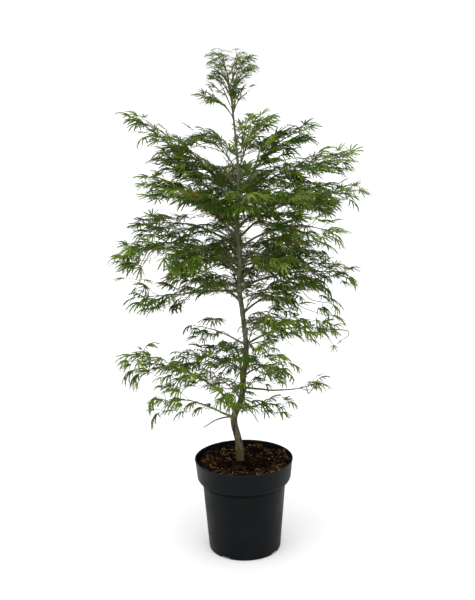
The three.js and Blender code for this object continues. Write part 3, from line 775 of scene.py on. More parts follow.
def bark_finish():
    finish = Finish("trunk_bark", Specular_IOR_Level=0.25)
    height = finish.along("Z")
    long = finish.clouds(170, 4, (1, 1, 0.16))
    across = finish.clouds(210, 3, (0.5, 0.5, 1.9))
    mottled = finish.clouds(75, 3)
    colour = finish.mix(finish.ramp(long, 0.43, 0.57), BARK_DARK, BARK)
    colour = finish.mix(finish.ramp(mottled, 0.46, 0.66) * 0.75, colour, BARK_PALE)
    colour = finish.mix(finish.ramp(across, 0.58, 0.66) * 0.75, colour, BARK_DARK)
    scars = finish.ramp(finish.specks(150, (1, 1, 1.6)), 0.2, 0.1)
    colour = finish.mix(scars * 0.5, colour, SCAR)
    side = finish.along("X") + finish.clouds(260, 3) * (ALGAE_RAGGED * MM)
    film = finish.belt(height, *ALGAE_FILM) * finish.rise(side, *ALGAE_SIDE)
    colour = finish.mix(film * 0.9, colour, ALGAE)
    # Painted shade on the trunk among the low boughs
    colour = finish.mix(finish.belt(height, *SHADED_STRETCH) * 0.85, colour, BARK_SHADED)
    colour = finish.mix(finish.rise(height, *YOUNG_STRETCH) * 0.5, colour, BARK_YOUNG)
    return finish.finish(colour, 0.8 + across * 0.1, long * 1.2 + across, 0.5)


feet = [(limb.at(trunk_radius(limb.foot) / limb.length), limb.root_radius * 1.5) for limb in limbs]
trunk_places = even_line(trunk_line, TRUNK_STEP)
trunk = tubes("trunk", [[(p, trunk_radius(p.z)) for p in trunk_places]], TRUNK_SIDES)
trunk = barked(trunk, BARK_DEPTH, 1, feet)
placed("trunk_bark", trunk, bark_finish(), ["trunk"], crease=80)


# Boughs
# Thin boughs sweep out from the trunk and run on as the stems of the sprays. Older wood is grey-brown and
# ringed at its joints, and the young ends are olive green. A few bare stubs are left from pruning.
BOUGH_SIDES = 10
BOUGH_STEP = 2
BOUGH_BARK_DEPTH = 0.28
BOUGH_BARK_SCALE = 0.6
WAVER = 1.6
WAVER_LENGTH = 26
# The boughs waver by a noise that would differ in each run without a seed
WAVER_SEED = 7
RING_SPACING = 24
RING_SWELL = 0.1
BOUGH_DARK = (0.055, 0.06, 0.022)
BOUGH_GREEN = (0.13, 0.138, 0.058)
BOUGH_OLD = (0.13, 0.105, 0.066)
# Bare twigs and stubs: sideways, backward, height and radius along each
STUBS = [
    [(-14, 12, 259, 2), (-25, 12, 263.4, 1.7), (-51, 12, 258.5, 1.3), (-77, 12, 242.5, 0.9)],
    [(-5, 10, 275, 1.5), (11, 10, 277.8, 1.2), (20, 10, 268, 1), (29, 10, 251.5, 0.8)],
    [(5, 10, 424, 1.5), (0, 9, 443, 1.1), (-3, 9, 444, 1), (-10, 8, 432, 0.8)],
]


def bough_line(limb):
    """A limb's places and radii, from inside the trunk to its end, wavering a little at each joint."""
    count = int(limb.length / BOUGH_STEP)
    line = []
    for i in range(count + 1):
        share = i / count
        place = limb.at(share)
        spot = Vector((limb.foot, place.x / WAVER_LENGTH, place.z / WAVER_LENGTH))
        waver = noise.noise_vector(spot) * WAVER * min(1, share * 4)
        ring = 1 + RING_SWELL * max(0, math.cos(i * BOUGH_STEP / RING_SPACING * math.tau)) ** 8
        line.append((place + waver, limb.radius(share) * ring))
    return line


def bough_finish():
    finish = Finish("bough_bark", Specular_IOR_Level=0.3)
    streaks = finish.clouds(240, 3)
    aged = finish.ramp(finish.clouds(34, 2), 0.4, 0.62)
    colour = finish.mix(finish.ramp(streaks, 0.38, 0.64), BOUGH_DARK, BOUGH_GREEN)
    colour = finish.mix(aged * 0.45, colour, BOUGH_OLD)
    return finish.finish(colour, 0.72, streaks, 0.3)


noise.seed_set(WAVER_SEED)
bough_lines = [bough_line(limb) for limb in limbs]
for stub in STUBS:
    places = smooth_line([Vector(row[:3]) for row in stub], 6)
    shares = np.linspace(0, len(stub) - 1, len(places))
    radii = np.interp(shares, range(len(stub)), [row[3] for row in stub])
    bough_lines.append(list(zip(places, radii)))
boughs = barked(tubes("boughs", bough_lines, BOUGH_SIDES), BOUGH_BARK_DEPTH, BOUGH_BARK_SCALE)
bough_nodes = ["bough_" + limb.name for limb in limbs if limb.bare]
placed("bough_bark", boughs, bough_finish(), bough_nodes, crease=80)


# Twigs
# From each stem grow opposite pairs of thin twigs, and from them the long leaf stalks. They grow by a seeded
# rule within the space of their mass, towards its skin, and stay clear of the limbs.
# The length of a full leaf's middle lobe
LOBE = 44
# A mass's space reaches these shares of a packed leaf's lobe behind and ahead of its stem, and its middle
# hangs under the stem by a share of its depth
SPACE_LOBE = 52
SPACE_BEHIND = 0.45
SPACE_AHEAD = 1.25
HANG = 0.18
# How the spaces are let out along, across and upward, and drawn in at the slender top
LET_OUT = (1, 1.06, 1.16)
DRAWN_IN = (0.96, 0.9, 1)
TOP_LEAF = 0.7
# How far a leaf may stand in a space where another mass's space has it deeper
TRESPASS = 0.12
# A stem without a bare bough is leafless this far from the trunk, and at most for this share of its length
BARE_STEM = 24
BARE_SHARE = 0.4
JOINT_SPACING = 14
FIRST_JOINT = 16
TIP_TWIG = 12
FORK_TWIG = 15
FORK_TURN = 42
TWIG_ANGLE = 44
TWIG_SHORTEST = 4
TWIG_LONGEST = 58
TWIG_THICK = 0.95
TWIG_END = 0.5
TWIG_STEPS = 5
TWIG_JOINT = 13
# A twig longer than this bears side twigs at every other joint
BRANCHING_FROM = 26
SIDE_TWIG = 15
SIDE_THINNER = 0.75
# Where a joint on a twig bears leaves: turns from the twig's own direction, in degrees
TIP_TURNS = [0, 40, -40]
PAIR_TURNS = [58, -58]
STALK = 20
STALK_BEND = 0.42
# Leaves sit this far apart at least, and farther low down: heights between which that fades, and how much
HUB_SPACING = 12.5
LOW_SPACING = 1.5
SPACING_HEIGHTS = (330, 560)
# How limp leaves hang at the foot of the crown, and the heights between which they stiffen
LIMP = 0.75
LIMP_HEIGHTS = (380, 640)
# Leaves keep clear of the wood, which is looked at in every so many of its places
LIMB_CLEARANCE = 4.5
WOOD_EVERY = 6
# How strongly a leaf turns away from the trunk to the light, and how it tilts, droops and varies in size
OUTWARD = 0.4
LEAF_TILT = (-0.6, 0.6)
LEAF_DROOP = (-0.45, 0.3)
LEAF_VARY = (0.7, 1.04)
TWIG_GREEN = (0.11, 0.145, 0.035)
TWIG_TAN = (0.17, 0.135, 0.06)
# Single shoots that stand out of the masses: the mass each belongs to, how far back its twig and its leaves
# lie, the places along the twig sideways and upward, and the leaves as the same two, direction, size, droop
# and how limp their lobes are
LONE_SHOOTS = [
    ("shelf_left", -16, -16, [(-46, 433), (-49, 444), (-52, 452)],
     [(-61, 467, 184, 0.8, 0, 0.3), (-53, 468, 262, 0.75, 0, 0.2), (-46, 468, 356, 0.72, 0, 0.3),
      (-56, 468, 150, 0.55, 0, 0.1), (-48, 468, 28, 0.55, 0, 0.1)]),
    ("arch_left", 6, 6, [(-151, 609), (-167, 601), (-179, 582), (-187, 566), (-189, 544), (-191, 533)],
     [(-224, 575, 180, 0.8, 0, 0.2), (-214, 582, 172, 0.6, -0.1, 0.2), (-219, 543, 183, 0.65, 0, 0.1),
      (-182, 539, 8, 0.6, 0, 0.3), (-182, 528, 335, 0.7, 0.8, 0.3)]),
    ("arch_left", -4, -4, [(-103, 607), (-129, 610), (-145, 605), (-164, 595), (-175, 581), (-184, 565),
     (-186, 541)],
     [(-206, 570, 190, 0.6, 0.1, 0.2), (-197, 526, 200, 0.5, 1, 0.3)]),
    ("long_left", 8, 8, [(-179, 363), (-187, 359), (-198, 342)],
     [(-201, 336, 200, 0.6, 1.6, 0.2)]),
    ("long_left", 4, 4, [(-188, 397), (-185, 405)],
     [(-183, 410, 0, 0.85, -0.9, 0.9), (-191, 404, 160, 0.35, -1, 0.2)]),
    ("long_left", 0, 0, [(-189, 392), (-202, 389)],
     [(-211, 394, 182, 1.1, -0.12, 0.5), (-212, 376, 184, 0.9, 0.1, 0.4), (-209, 363, 190, 1, 0.3, 0.5),
      (-200, 354, 196, 0.95, 0.5, 0.4)]),
    ("long_left", -2, -2, [(-107, 332), (-118, 318), (-120, 304), (-124, 287), (-150, 282)],
     [(-164, 278, 188, 1, 0.65, 0.5), (-171, 286, 184, 0.5, 0.15, 0.2), (-149, 296, 60, 0.35, -1, 0.1)]),
    ("low_left", -10, -10, [(-104, 306), (-130, 309), (-147, 306)],
     [(-165, 314, 188, 1.15, 0.45, 0.7), (-154, 334, 130, 0.7, -0.2, 0.4), (-134, 325, 80, 0.65, -1.2, 0.2),
      (-168, 300, 178, 0.6, 0.4, 0.5)]),
    ("arm_right", 4, 4, [(194, 436), (201, 433), (201, 425), (190, 418)],
     [(187, 416, 200, 0.3, 0.9, 0.1)]),
    ("arm_right", -4, -4, [(158, 433), (162, 424), (171, 412)],
     [(173, 409, 262, 0.42, 0.9, 0.2)]),
    ("whip_right", -2, -2, [(125, 313), (132, 322), (136, 330)],
     [(139, 334, 0, 0.95, 0, 0.3), (133, 335, 18, 0.75, -0.1, 0.2), (131, 336, 155, 0.4, -0.2, 0.1)]),
    ("reach_right", 6, 6, [(166, 541), (184, 539)],
     [(195, 538, 356, 1, 0.15, 0.4), (188, 531, 340, 0.8, 0.5, 0.3), (180, 548, 20, 0.7, 0.1, 0.3)]),
    ("rise_right", 4, 4, [(132, 496), (158, 490)],
     [(167, 498, 352, 0.95, 0.45, 0.3), (173, 485, 345, 0.9, 0.7, 0.3), (151, 482, 338, 0.9, 0.6, 0.3),
      (147, 505, 10, 0.9, 0.2, 0.3)]),
    ("rise_right", -14, -14, [(108, 489), (136, 477), (161, 469)],
     [(170, 470, 356, 0.95, 0.3, 0.4), (159, 459, 344, 0.8, 0.7, 0.3), (138, 462, 335, 0.8, 0.7, 0.3),
      (142, 485, 350, 0.8, 0.3, 0.3)]),
    ("rise_upper_right", -8, -8, [(60, 730), (78, 738), (98, 744)],
     [(66, 757, 120, 0.8, -0.5, 0.1), (80, 750, 20, 0.9, -0.1, 0.1), (95, 740, 350, 0.9, 0.2, 0.2),
      (73, 724, 330, 0.85, 0.5, 0.2), (107, 750, 4, 0.9, 0, 0.1), (56, 743, 200, 0.7, 0.1, 0.1),
      (95, 722, 340, 0.8, 0.6, 0.3)]),
    ("crown_right", -14, -14, [(40, 752), (60, 757), (88, 762)],
     [(41, 762, 190, 0.75, 0, 0.1), (54, 764, 150, 0.8, -0.4, 0.1), (62, 750, 330, 0.85, 0.4, 0.2),
      (84, 770, 60, 0.8, -0.3, 0.1), (82, 756, 345, 0.85, 0.3, 0.2), (100, 764, 5, 0.9, 0, 0.1)]),
    ("tip_right", 4, 4, [(112, 706), (132, 703), (158, 690)],
     [(124, 716, 20, 0.85, -0.1, 0.1), (141, 708, 0, 0.85, 0.1, 0.1), (156, 697, 350, 0.85, 0.3, 0.2),
      (136, 692, 335, 0.8, 0.6, 0.2), (168, 682, 345, 0.8, 0.4, 0.2)]),
    ("hang_right", -6, -6, [(102, 597), (120, 601), (148, 603)],
     [(120, 612, 20, 0.85, 0, 0.1), (140, 610, 0, 0.85, 0.2, 0.2), (156, 604, 348, 0.9, 0.4, 0.3),
      (130, 594, 330, 0.8, 0.6, 0.2), (150, 592, 340, 0.8, 0.6, 0.3)]),
    ("top", 16, 16, [(-22, 920), (-28, 936), (-29, 954)],
     [(-35, 958, 182, 0.42, 0, 0.2), (-21, 954, 8, 0.4, 0.1, 0.3), (-45, 946, 176, 0.52, -0.2, 0.1),
      (-44, 926, 186, 0.48, 0, 0.2), (-15, 938, 20, 0.5, -0.3, 0.1)]),
    ("top", 12, 12, [(-15, 913), (-8, 931), (-3, 946)],
     [(2, 951, 0, 0.52, -0.15, 0.1), (-4, 956, 80, 0.4, -0.3, 0.1), (4, 934, 6, 0.55, -0.2, 0.1),
      (-13, 927, 200, 0.5, -0.2, 0.1), (-18, 943, 178, 0.45, -0.2, 0.1)]),
    ("top_mid_left", 8, 6, [(-14, 880), (-15, 891), (-13, 902)],
     [(-19, 905, 170, 0.45, 0.1, 0.1), (-10, 899, 30, 0.42, 0.1, 0.1), (-3, 901, 350, 0.45, 0.2, 0.2),
      (-22, 891, 190, 0.45, 0.4, 0.3), (-12, 885, 300, 0.45, 0.6, 0.3), (-3, 889, 340, 0.45, 0.3, 0.2),
      (-24, 880, 200, 0.45, 0.4, 0.3), (-9, 874, 280, 0.42, 0.7, 0.4), (2, 878, 350, 0.5, 0.6, 0.4)]),
    ("low_front", -10, -16, [(-4, 333), (0, 357), (3, 381)],
     [(4, 398, 272, 0.85, 0.8, 0.3), (-6, 392, 236, 0.75, 0.7, 0.3), (11, 390, 306, 0.75, 0.7, 0.4),
      (-4, 364, 262, 0.65, 1, 0.5), (-3, 342, 262, 0.75, 0.9, 0.5), (-12, 334, 222, 0.65, 0.8, 0.6)]),
    ("top_mid_left", 14, 14, [(-30, 896), (-37, 903)],
     [(-39, 904, 178, 0.55, -0.25, 0.1)]),
]
# Windows of sky as seen from the front: centre and half size, sideways and upward, on the plane of the trunk
WINDOWS = [
    (-52, 476, 53, 37), (-173, 451, 56, 21), (-166, 572, 20, 25), (-76, 911, 16, 16), (36, 874, 23, 21),
    (-105, 315, 17, 14), (157, 305, 38, 16), (151, 381, 49, 26), (-37, 766, 25, 15), (-96, 811, 11, 11),
    (-78, 655, 20, 15), (-10, 682, 7, 13), (9, 693, 9, 11), (20, 427, 17, 13), (109, 404, 45, 15),
    (-19, 539, 6, 17), (-38, 557, 17, 9), (133, 504, 21, 13), (143, 469, 17, 8), (-72, 780, 16, 13),
    (-107, 669, 18, 9), (-160, 517, 19, 11), (-23, 433, 15, 13), (141, 633, 22, 11), (78, 668, 17, 7),
]
# Where the windows are looked through from
EYE = (-8, -2001, 986)
# A leaf that doesn't fit is tried again smaller and turned aside: share of its size, and degrees
LEAF_TRIES = [(1, 0), (0.95, 24), (0.95, -24), (0.8, 0), (0.8, 40), (0.8, -40), (0.66, 0)]


def turned(vector, degrees):
    return Matrix.Rotation(math.radians(degrees), 3, UP) @ vector


class Space:
    """The ellipsoid that a mass of foliage keeps to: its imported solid's, let out a little for fine tips."""

    def __init__(self, limb):
        self.limb = limb
        leafless = 0 if limb.bare else min(BARE_SHARE, BARE_STEM / limb.length)
        self.start = limb.bare + (1 - limb.bare) * leafless
        chord = limb.at(1) - limb.at(self.start)
        long = (chord.length + SPACE_LOBE * (SPACE_BEHIND + SPACE_AHEAD)) / 2
        forward = chord.normalized()
        across = UP.cross(forward).normalized()
        above = forward.cross(across)
        self.centre = limb.at(self.start) + forward * (long - SPACE_LOBE * SPACE_BEHIND)
        self.centre -= UP * limb.deep * HANG
        self.axes = np.array([forward, across, above])
        self.sizes = np.array([long, limb.wide, limb.deep]) * (LET_OUT if limb.leaf > TOP_LEAF else DRAWN_IN)

    def room(self, place, way):
        """How far it is from a place to the skin of the space."""
        offset = self.axes @ np.array(place - self.centre) / self.sizes
        step = self.axes @ np.array(way) / self.sizes
        a, b, c = step @ step, offset @ step, offset @ offset - 1
        return 0 if c > 0 else (-b + math.sqrt(b * b - a * c)) / a


spaces = [Space(limb) for limb in limbs]
space_centres = np.array([space.centre for space in spaces])
space_frames = np.array([space.axes / space.sizes[:, None] for space in spaces])


def levels(place):
    """How far out a place is in every space: 0 at its centre and 1 on its skin."""
    offsets = np.array(place) - space_centres
    return np.linalg.norm(np.einsum("nij,nj->ni", space_frames, offsets), axis=1)


trunk_wood = [(p, trunk_radius(p.z)) for p in trunk_places]
wood = [line[::WOOD_EVERY] for line in (trunk_wood, *bough_lines)]
stretches = [(a, b, thick) for line in wood for (a, thick), (b, _) in zip(line, line[1:])]
wood_starts, wood_ends, wood_radii = [np.array(column) for column in zip(*stretches)]


def clear_of_wood(place, clearance):
    """True if a place keeps its distance from the trunk, the boughs and the stems."""
    span = wood_ends - wood_starts
    offset = np.array(place) - wood_starts
    share = np.clip((offset * span).sum(1) / (span * span).sum(1), 0, 1)
    gap = np.linalg.norm(offset - span * share[:, None], axis=1)
    return bool((gap > wood_radii + clearance).all())


def in_window(place):
    """True if a place would be seen in one of the windows of sky."""
    nearer = EYE[1] / (EYE[1] - place.y)
    x = EYE[0] + (place.x - EYE[0]) * nearer
    z = EYE[2] + (place.z - EYE[2]) * nearer
    return any(((x - a) / wide) ** 2 + ((z - b) / high) ** 2 < 1 for a, b, wide, high in WINDOWS)


class Leaf:
    """Where one leaf is: its stalk's root, its hub and the directions of its blade."""

    def __init__(self, root, outward, size, stalk, tilt, droop):
        ahead = Vector((outward.x, outward.y, outward.z * 0.5 - droop)).normalized()
        flat = UP.cross(ahead).normalized()
        normal = Matrix.Rotation(tilt, 3, ahead) @ ahead.cross(flat)
        side = normal.cross(ahead)
        stalk_way = (ahead + normal * STALK_BEND).normalized()
        self.root = root
        self.hub = root + stalk_way * stalk * size
        self.frame = np.array([ahead, side, normal]).T
        self.size = size
        self.limp = np.interp(self.hub.z, LIMP_HEIGHTS, (LIMP, 0))
        self.normal = normal
        self.tips = [self.hub + ahead * LOBE * size * 0.95 - normal * LOBE * size * 0.25]
        for turn in (1, -1):
            way = ahead * 0.64 + side * 0.76 * turn - normal * 0.22
            self.tips.append(self.hub + way * LOBE * size * 0.9)


class Spray:
    """The twigs and leaves of one mass."""

    def __init__(self, index, space):
        self.index = index
        self.space = space
        self.chance = random.Random(1009 + index * 7919)
        self.leaves = []
        self.twigs = []
        self.hubs = []
        open_out = np.interp(space.centre.z, SPACING_HEIGHTS, (LOW_SPACING, 1))
        self.spacing = HUB_SPACING * space.limb.leaf * open_out
        self.grow()

    def fits(self, leaf):
        own = levels(leaf.hub)
        if own[self.index] > 1 or (np.delete(own, self.index) < own[self.index] - TRESPASS).any():
            return False
        if any(levels(tip)[self.index] > 1 for tip in leaf.tips):
            return False
        if any((leaf.hub - hub).length < self.spacing for hub in self.hubs):
            return False
        places = [leaf.hub, leaf.hub.lerp(leaf.tips[0], 0.5), *leaf.tips]
        if any(in_window(place) for place in places):
            return False
        return all(clear_of_wood(place, LIMB_CLEARANCE) for place in places)

    def bear(self, root, outward, stalk):
        """Grows a leaf if one of the tries fits."""
        away = Vector((root.x - TRUNK[-1][1], root.y, 0)).normalized()
        outward = (outward + away * OUTWARD).normalized()
        tilt = self.chance.uniform(*LEAF_TILT)
        droop = self.chance.uniform(*LEAF_DROOP)
        vary = self.chance.uniform(*LEAF_VARY)
        for size, swing in LEAF_TRIES:
            scale = size * vary * self.space.limb.leaf
            leaf = Leaf(root, turned(outward, swing), scale, stalk, tilt, droop)
            if self.fits(leaf):
                self.leaves.append(leaf)
                self.hubs.append(leaf.hub)
                return

    def twig(self, start, way, reach, thick, branching=True):
        """A thin twig that lifts a little and then bends over, with leaves in pairs and at its tip."""
        lift = UP * (0.16 * reach)
        shares = [k / TWIG_STEPS for k in range(TWIG_STEPS + 1)]
        places = [start + way * reach * t + lift * (t - 1.9 * t * t) for t in shares]
        before = len(self.leaves)
        for turn in TIP_TURNS:
            self.bear(places[-1], turned(way, turn), STALK * self.chance.uniform(0.6, 1.1))
        joints = int(reach / TWIG_JOINT)
        for joint in range(1, joints + 1):
            at = places[0].lerp(places[-1], joint / (joints + 1))
            for turn in PAIR_TURNS:
                side = turned(way, turn * self.chance.uniform(0.8, 1.2))
                if branching and reach > BRANCHING_FROM and joint % 2:
                    long = SIDE_TWIG * self.chance.uniform(0.7, 1.2)
                    self.twig(at, side, long, thick * SIDE_THINNER, False)
                else:
                    self.bear(at, side, STALK * self.chance.uniform(0.8, 1.35))
        if len(self.leaves) > before:
            self.twigs.append([(place, thick + (TWIG_END - thick) * t) for place, t in zip(places, shares)])

    def grow(self):
        limb, space = self.space.limb, self.space
        forward = (limb.at(1) - limb.at(0.94)).normalized()
        self.twig(limb.at(1), forward, TIP_TWIG * limb.leaf, LIMB_TIP)
        for hand in (1, -1):
            self.twig(limb.at(0.985), turned(forward, FORK_TURN * hand), FORK_TWIG * limb.leaf, 0.9)
        first = max(0.1, space.start - FIRST_JOINT / limb.length)
        joints = max(2, round(limb.length * (1 - first) / JOINT_SPACING))
        for joint in range(joints):
            share = first + (1 - first) * (joint + 0.4) / joints
            root = limb.at(share)
            along = (limb.at(share + 0.02) - limb.at(share - 0.02)).normalized()
            for hand in (1, -1):
                way = self.crosswise(along, hand) if joint % 2 else self.sideways(along, hand)
                room = space.room(root, way) - (STALK * 0.7 + LOBE * 0.75) * limb.leaf
                long = min(TWIG_LONGEST, room * self.chance.uniform(0.75, 1))
                self.twig(root, way, max(TWIG_SHORTEST, long), TWIG_THICK)

    def lone_shoot(self, depth, leaf_depth, places, leaves):
        """A twig that starts at the nearest place on the stem, with stalked leaves."""
        places = [Vector((x, depth, z)) for x, z in places]
        start = min(self.space.limb.points, key=lambda place: (place - places[0]).length)
        line = smooth_line([start, *places], 5)
        self.twigs.append([(place, 1.2 - 0.6 * k / len(line)) for k, place in enumerate(line)])
        for x, z, direction, size, droop, limp in leaves:
            hub = Vector((x, leaf_depth, z))
            root = min(line, key=lambda place: (place - hub).length)
            leaf = Leaf(root, heading(direction, 0), size, STALK, 0, droop)
            leaf.hub = hub
            leaf.limp = limp
            self.leaves.append(leaf)

    def sideways(self, along, hand):
        """A twig's direction to one side of its stem."""
        way = turned(along, hand * TWIG_ANGLE * self.chance.uniform(0.75, 1.2))
        return (way + UP * self.chance.uniform(-0.2, 0.5)).normalized()

    def crosswise(self, along, hand):
        """The direction of a twig of an upright pair: one rises and the other hangs."""
        way = turned(along, self.chance.uniform(-50, 50))
        climb = self.chance.uniform(0.7, 1.5) if hand > 0 else self.chance.uniform(-0.8, -0.3)
        return (way + UP * climb).normalized()


sprays = [Spray(index, space) for index, space in enumerate(spaces)]
for name, *shoot in LONE_SHOOTS:
    next(spray for spray in sprays if spray.space.limb.name == name).lone_shoot(*shoot)


def stalk_line(leaf):
    """A leaf's stalk: thin, arching up from the twig into the hub."""
    knee = leaf.root.lerp(leaf.hub, 0.5) + leaf.normal * (leaf.hub - leaf.root).length * 0.07
    return [(leaf.root, 0.55), (knee, 0.5), (leaf.hub, 0.48)]


def twig_finish():
    finish = Finish("green_twig", Specular_IOR_Level=0.35)
    mottled = finish.ramp(finish.clouds(60, 3), 0.36, 0.64)
    colour = finish.mix(mottled, TWIG_GREEN, TWIG_TAN)
    return finish.finish(colour, 0.55, finish.clouds(500, 2), 0.1)


twig_lines = [line for spray in sprays for line in spray.twigs]
twig_lines += [stalk_line(leaf) for spray in sprays for leaf in spray.leaves]
placed("green_twigs", tubes("twigs", twig_lines, 4), twig_finish(), crease=80)


# Leaves
# Thin leaves cut almost to the hub into seven slim lobes, each with forward-pointing teeth and a long
# drawn-out tip that arches over. They are mid green, fresher low down, with a few that have scorched.
LOBE_ROWS = 4
# The forms run from crisp to limp, and a leaf takes one of so many neighbours by chance
LEAF_FORMS = 16
FORM_CHOICE = 9
LOBE_TURNS = [0, 28, -28, 57, -57, 92, -92]
LOBE_SHARES = [1, 0.95, 0.95, 0.8, 0.8, 0.5, 0.5]
# Half widths of a lobe from foot to tip, and its teeth: the row they start at, and how far on and out they
# go, all as shares of the leaf's length
LOBE_WIDTHS = [0.011, 0.023, 0.029, 0.021, 0]
TEETH = [(1, 0.14, 0.052), (2, 0.15, 0.056), (3, 0.13, 0.038)]
LOBE_LIFT = 0.16
LOBE_FOLD = 0.35
RIB = (0.17, 0.22, 0.07)
LEAF_PAINTED_SHADE = (0.03, 0.055, 0.006)
DRY_TIP = (0.16, 0.15, 0.05)


def add_lobe(body, layers, length, turn, droop, sway):
    """One lobe: a tapering strip with teeth drawn out of its sides, arched over and turned about the hub."""
    strip = bmesh.ops.create_grid(body, x_segments=LOBE_ROWS, y_segments=1, size=0.5)["verts"]
    rows = {}
    for vert in strip:
        row = round((vert.co.x + 0.5) * LOBE_ROWS)
        hand = 1 if vert.co.y > 0 else -1
        rows[row, hand] = vert
        vert.co = (row / LOBE_ROWS, hand * LOBE_WIDTHS[row], 0)
        vert[layers["reach"]] = row / LOBE_ROWS
        vert[layers["across"]] = hand
    made = list(strip)
    for row, onward, outward in TEETH:
        for hand in (1, -1):
            edge = body.edges.get((rows[row - 1, hand], rows[row, hand]))
            drawn = bmesh.ops.extrude_edge_only(body, edges=[edge])["geom"]
            corners = [part for part in drawn if isinstance(part, bmesh.types.BMVert)]
            place = rows[row, hand].co + Vector((onward, hand * outward, 0))
            for corner in corners:
                corner[layers["reach"]] = min(1, place.x)
                corner[layers["across"]] = hand
            bmesh.ops.pointmerge(body, verts=corners, merge_co=place)
            made += [corner for corner in corners if corner.is_valid]
    swing = math.radians(turn)
    for vert in made:
        x, y = vert.co.x, vert.co.y
        y += sway * x * x
        arch = LOBE_LIFT * x - (LOBE_LIFT + droop) * x * x - abs(y) * LOBE_FOLD
        out = x - 0.5 * droop * x * x
        vert.co = Vector((
            (out * math.cos(swing) - y * math.sin(swing)) * length,
            (out * math.sin(swing) + y * math.cos(swing)) * length,
            arch * length,
        ))


def leaf_form(chance, droop):
    """One form of leaf as arrays: places, faces, and each place's share out and across its lobe."""
    body = bmesh.new()
    layers = {name: body.verts.layers.float.new(name) for name in ("reach", "across")}
    spread = chance.uniform(0.82, 1.08)
    for turn, share in zip(LOBE_TURNS, LOBE_SHARES):
        length = LOBE * share * chance.uniform(0.88, 1.06)
        turn = turn * spread + chance.uniform(-5, 5)
        add_lobe(body, layers, length, turn, droop * chance.uniform(0.7, 1.3), chance.uniform(-0.1, 0.1))
    bmesh.ops.remove_doubles(body, verts=body.verts, dist=0.05)
    body.verts.index_update()
    places = np.array([vert.co for vert in body.verts])
    faces = [[vert.index for vert in face.verts] for face in body.faces]
    if sum(face.normal.z * face.calc_area() for face in body.faces) < 0:
        faces = [face[::-1] for face in faces]
    reach = np.array([vert[layers["reach"]] for vert in body.verts])
    across = np.array([vert[layers["across"]] for vert in body.verts])
    body.free()
    return places, faces, reach, across


leaf_chance = random.Random(4242)
leaf_forms = [leaf_form(leaf_chance, droop) for droop in np.linspace(0.02, 0.75, LEAF_FORMS)]

# Plain leaf colours, and how many parts of each a spray takes by its height
LEAF_COLOURS = {
    "deep": (0.022, 0.064, 0.002),
    "mid": (0.092, 0.156, 0.007),
    "fresh": (0.18, 0.275, 0.018),
    "grey": (0.125, 0.175, 0.045),
    "scorched": (0.3, 0.13, 0.02),
}
LOW_SHARES = {"deep": 3.5, "mid": 5.2, "fresh": 2.5, "grey": 0.8, "scorched": 0.05}
HIGH_SHARES = {"deep": 4, "mid": 6.5, "fresh": 1.3, "grey": 0.9, "scorched": 0.03}
# The heights from which the low shares fade and at which the high ones hold
SHARE_HEIGHTS = (440, 740)
SPRAY_SHARE = 0.35


def leaf_colour(chance, height):
    """One of the leaf colours by chance, a little lighter or darker."""
    high = float(np.interp(height, SHARE_HEIGHTS, (0, 1)))
    weights = [LOW_SHARES[k] * (1 - high) + HIGH_SHARES[k] * high for k in LEAF_COLOURS]
    colour = LEAF_COLOURS[chance.choices(list(LEAF_COLOURS), weights)[0]]
    light = chance.uniform(0.66, 1.26) * (0.94 + 0.12 * high)
    return [channel * light for channel in colour]


def leaf_mesh(name, grown):
    """All the leaves of some sprays as one mesh, with attributes for the finish."""
    places, loops, sizes, reach, across, tint = [], [], [], [], [], []
    count = 0
    for spray in grown:
        chance = random.Random(77 + spray.index)
        base = leaf_colour(chance, spray.space.centre.z)
        for leaf in spray.leaves:
            limp = round(leaf.limp * (LEAF_FORMS - FORM_CHOICE))
            form, faces, form_reach, form_across = leaf_forms[limp + chance.randrange(FORM_CHOICE)]
            own = leaf_colour(chance, leaf.hub.z)
            colour = [SPRAY_SHARE * a + (1 - SPRAY_SHARE) * b for a, b in zip(base, own)]
            places.append(form * leaf.size @ leaf.frame.T + np.array(leaf.hub))
            for face in faces:
                loops.extend(index + count for index in face)
                sizes.append(len(face))
            reach.append(form_reach)
            across.append(form_across)
            tint.append(np.tile([*colour, 1], (len(form), 1)))
            count += len(form)
    mesh = bpy.data.meshes.new(name)
    mesh.vertices.add(count)
    mesh.vertices.foreach_set("co", (np.concatenate(places) * MM).ravel())
    mesh.loops.add(len(loops))
    mesh.loops.foreach_set("vertex_index", loops)
    mesh.polygons.add(len(sizes))
    mesh.polygons.foreach_set("loop_start", np.concatenate([[0], np.cumsum(sizes)[:-1]]))
    mesh.update(calc_edges=True)
    for kind, values in (("reach", reach), ("across", across)):
        layer = mesh.attributes.new(kind, "FLOAT", "POINT")
        layer.data.foreach_set("value", np.concatenate(values))
    layer = mesh.attributes.new("tint", "FLOAT_COLOR", "POINT")
    layer.data.foreach_set("color", np.concatenate(tint).ravel())
    return mesh


def leaf_finish():
    finish = Finish("laceleaf", Specular_IOR_Level=0.1)
    reach = finish.attribute("reach")
    across = finish.attribute("across")
    rib = finish.ramp(across * across, 0.1, 0.0)
    patchy = finish.ramp(finish.clouds(120, 3), 0.35, 0.7)
    colour = finish.mix(rib * (1 - reach) * 0.5, finish.attribute("tint", "Color"), RIB)
    # Darker patches across the leaves: painted shade
    colour = finish.mix(patchy * 0.3, colour, LEAF_PAINTED_SHADE)
    colour = finish.mix(finish.ramp(reach, 0.8, 1.05) * 0.35, colour, DRY_TIP)
    return finish.finish(colour, 0.42 + patchy * 0.15, rib * 0.5 + patchy, 0.25)


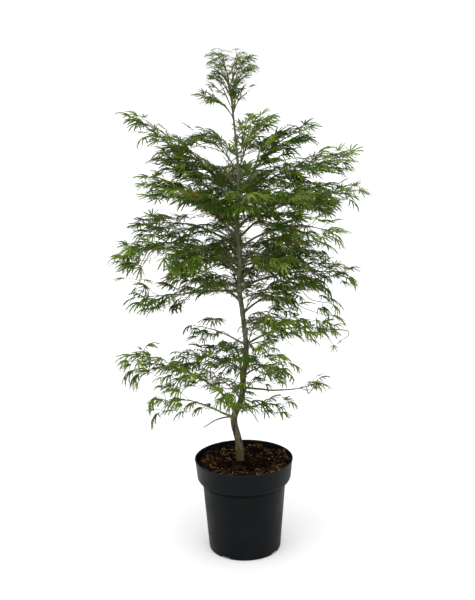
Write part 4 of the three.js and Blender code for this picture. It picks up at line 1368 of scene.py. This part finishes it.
# Tiers of the crown, and the heights between which the centres of their masses lie
TIERS = [("lower", 0, 470), ("middle", 470, 665), ("upper", 665, 820), ("top", 820, 2000)]
laceleaf = leaf_finish()
for tier, low, high in TIERS:
    grown = [spray for spray in sprays if low < spray.space.centre.z <= high]
    nodes = ["leaves_" + spray.space.limb.name for spray in grown if spray.space.limb.packed]
    name = "leaves_" + tier + "_tier"
    placed(name, leaf_mesh(name, grown), laceleaf, nodes, crease=180)


# Studio
# No part of the plant: the plain white floor that it stands on, broad soft light from above and a little to
# the front, and the camera, set as the photograph was taken.
FLOOR_SIZE = 40
FLOOR_WHITE = (0.9, 0.9, 0.9)
SKY_WHITE = (1, 1, 1)
SKY_LIGHT = 0.62
CAMERA_PLACE = (-0.0077, -2.0009, 0.9863)
CAMERA_PITCH = 0.239
CAMERA_ROLL = -0.015
CAMERA_LENS = 66


def studio_floor():
    body = bmesh.new()
    bmesh.ops.create_grid(body, x_segments=1, y_segments=1, size=FLOOR_SIZE / 2)
    floor = shown("floor", mesh_of(body, "floor"))
    paint = Finish("floor_paint", Specular_IOR_Level=0.1)
    floor.data.materials.append(paint.finish(FLOOR_WHITE, 0.8))


def soft_sun(name, turn, energy, width):
    """Light from far off, turned out of straight down, with its width across the sky, in degrees."""
    light = bpy.data.lights.new(name, "SUN")
    light.energy = energy
    light.angle = math.radians(width)
    shown(name, light).rotation_euler = [math.radians(angle) for angle in turn]


def studio_world():
    """White behind the plant, and a dimmer light from all round it."""
    world = bpy.data.worlds.new("studio")
    world.use_nodes = True
    sky = Nodes(world.node_tree)
    seen = sky.node("ShaderNodeLightPath", output="Is Camera Ray")
    strength = sky.node("ShaderNodeMapRange", {}, {"Value": seen, "To Min": SKY_LIGHT, "To Max": 1})
    background = sky.tree.nodes["Background"]
    sky.put(background.inputs["Strength"], strength)
    sky.put(background.inputs["Color"], SKY_WHITE)
    bpy.context.scene.world = world


def studio_camera():
    lens = bpy.data.cameras.new("camera")
    lens.lens = CAMERA_LENS
    lens.clip_end = 100
    camera = shown("camera", lens)
    tilt = Matrix.Rotation(math.pi / 2 - CAMERA_PITCH, 4, "X") @ Matrix.Rotation(CAMERA_ROLL, 4, "Z")
    camera.matrix_world = Matrix.Translation(CAMERA_PLACE) @ tilt
    bpy.context.scene.camera = camera


studio_floor()
studio_world()
soft_sun("overhead", (4, 0, 0), 1.72, 100)
soft_sun("front", (42, 0, -14), 1.2, 90)
studio_camera()
bpy.context.scene.view_settings.view_transform = "Standard"
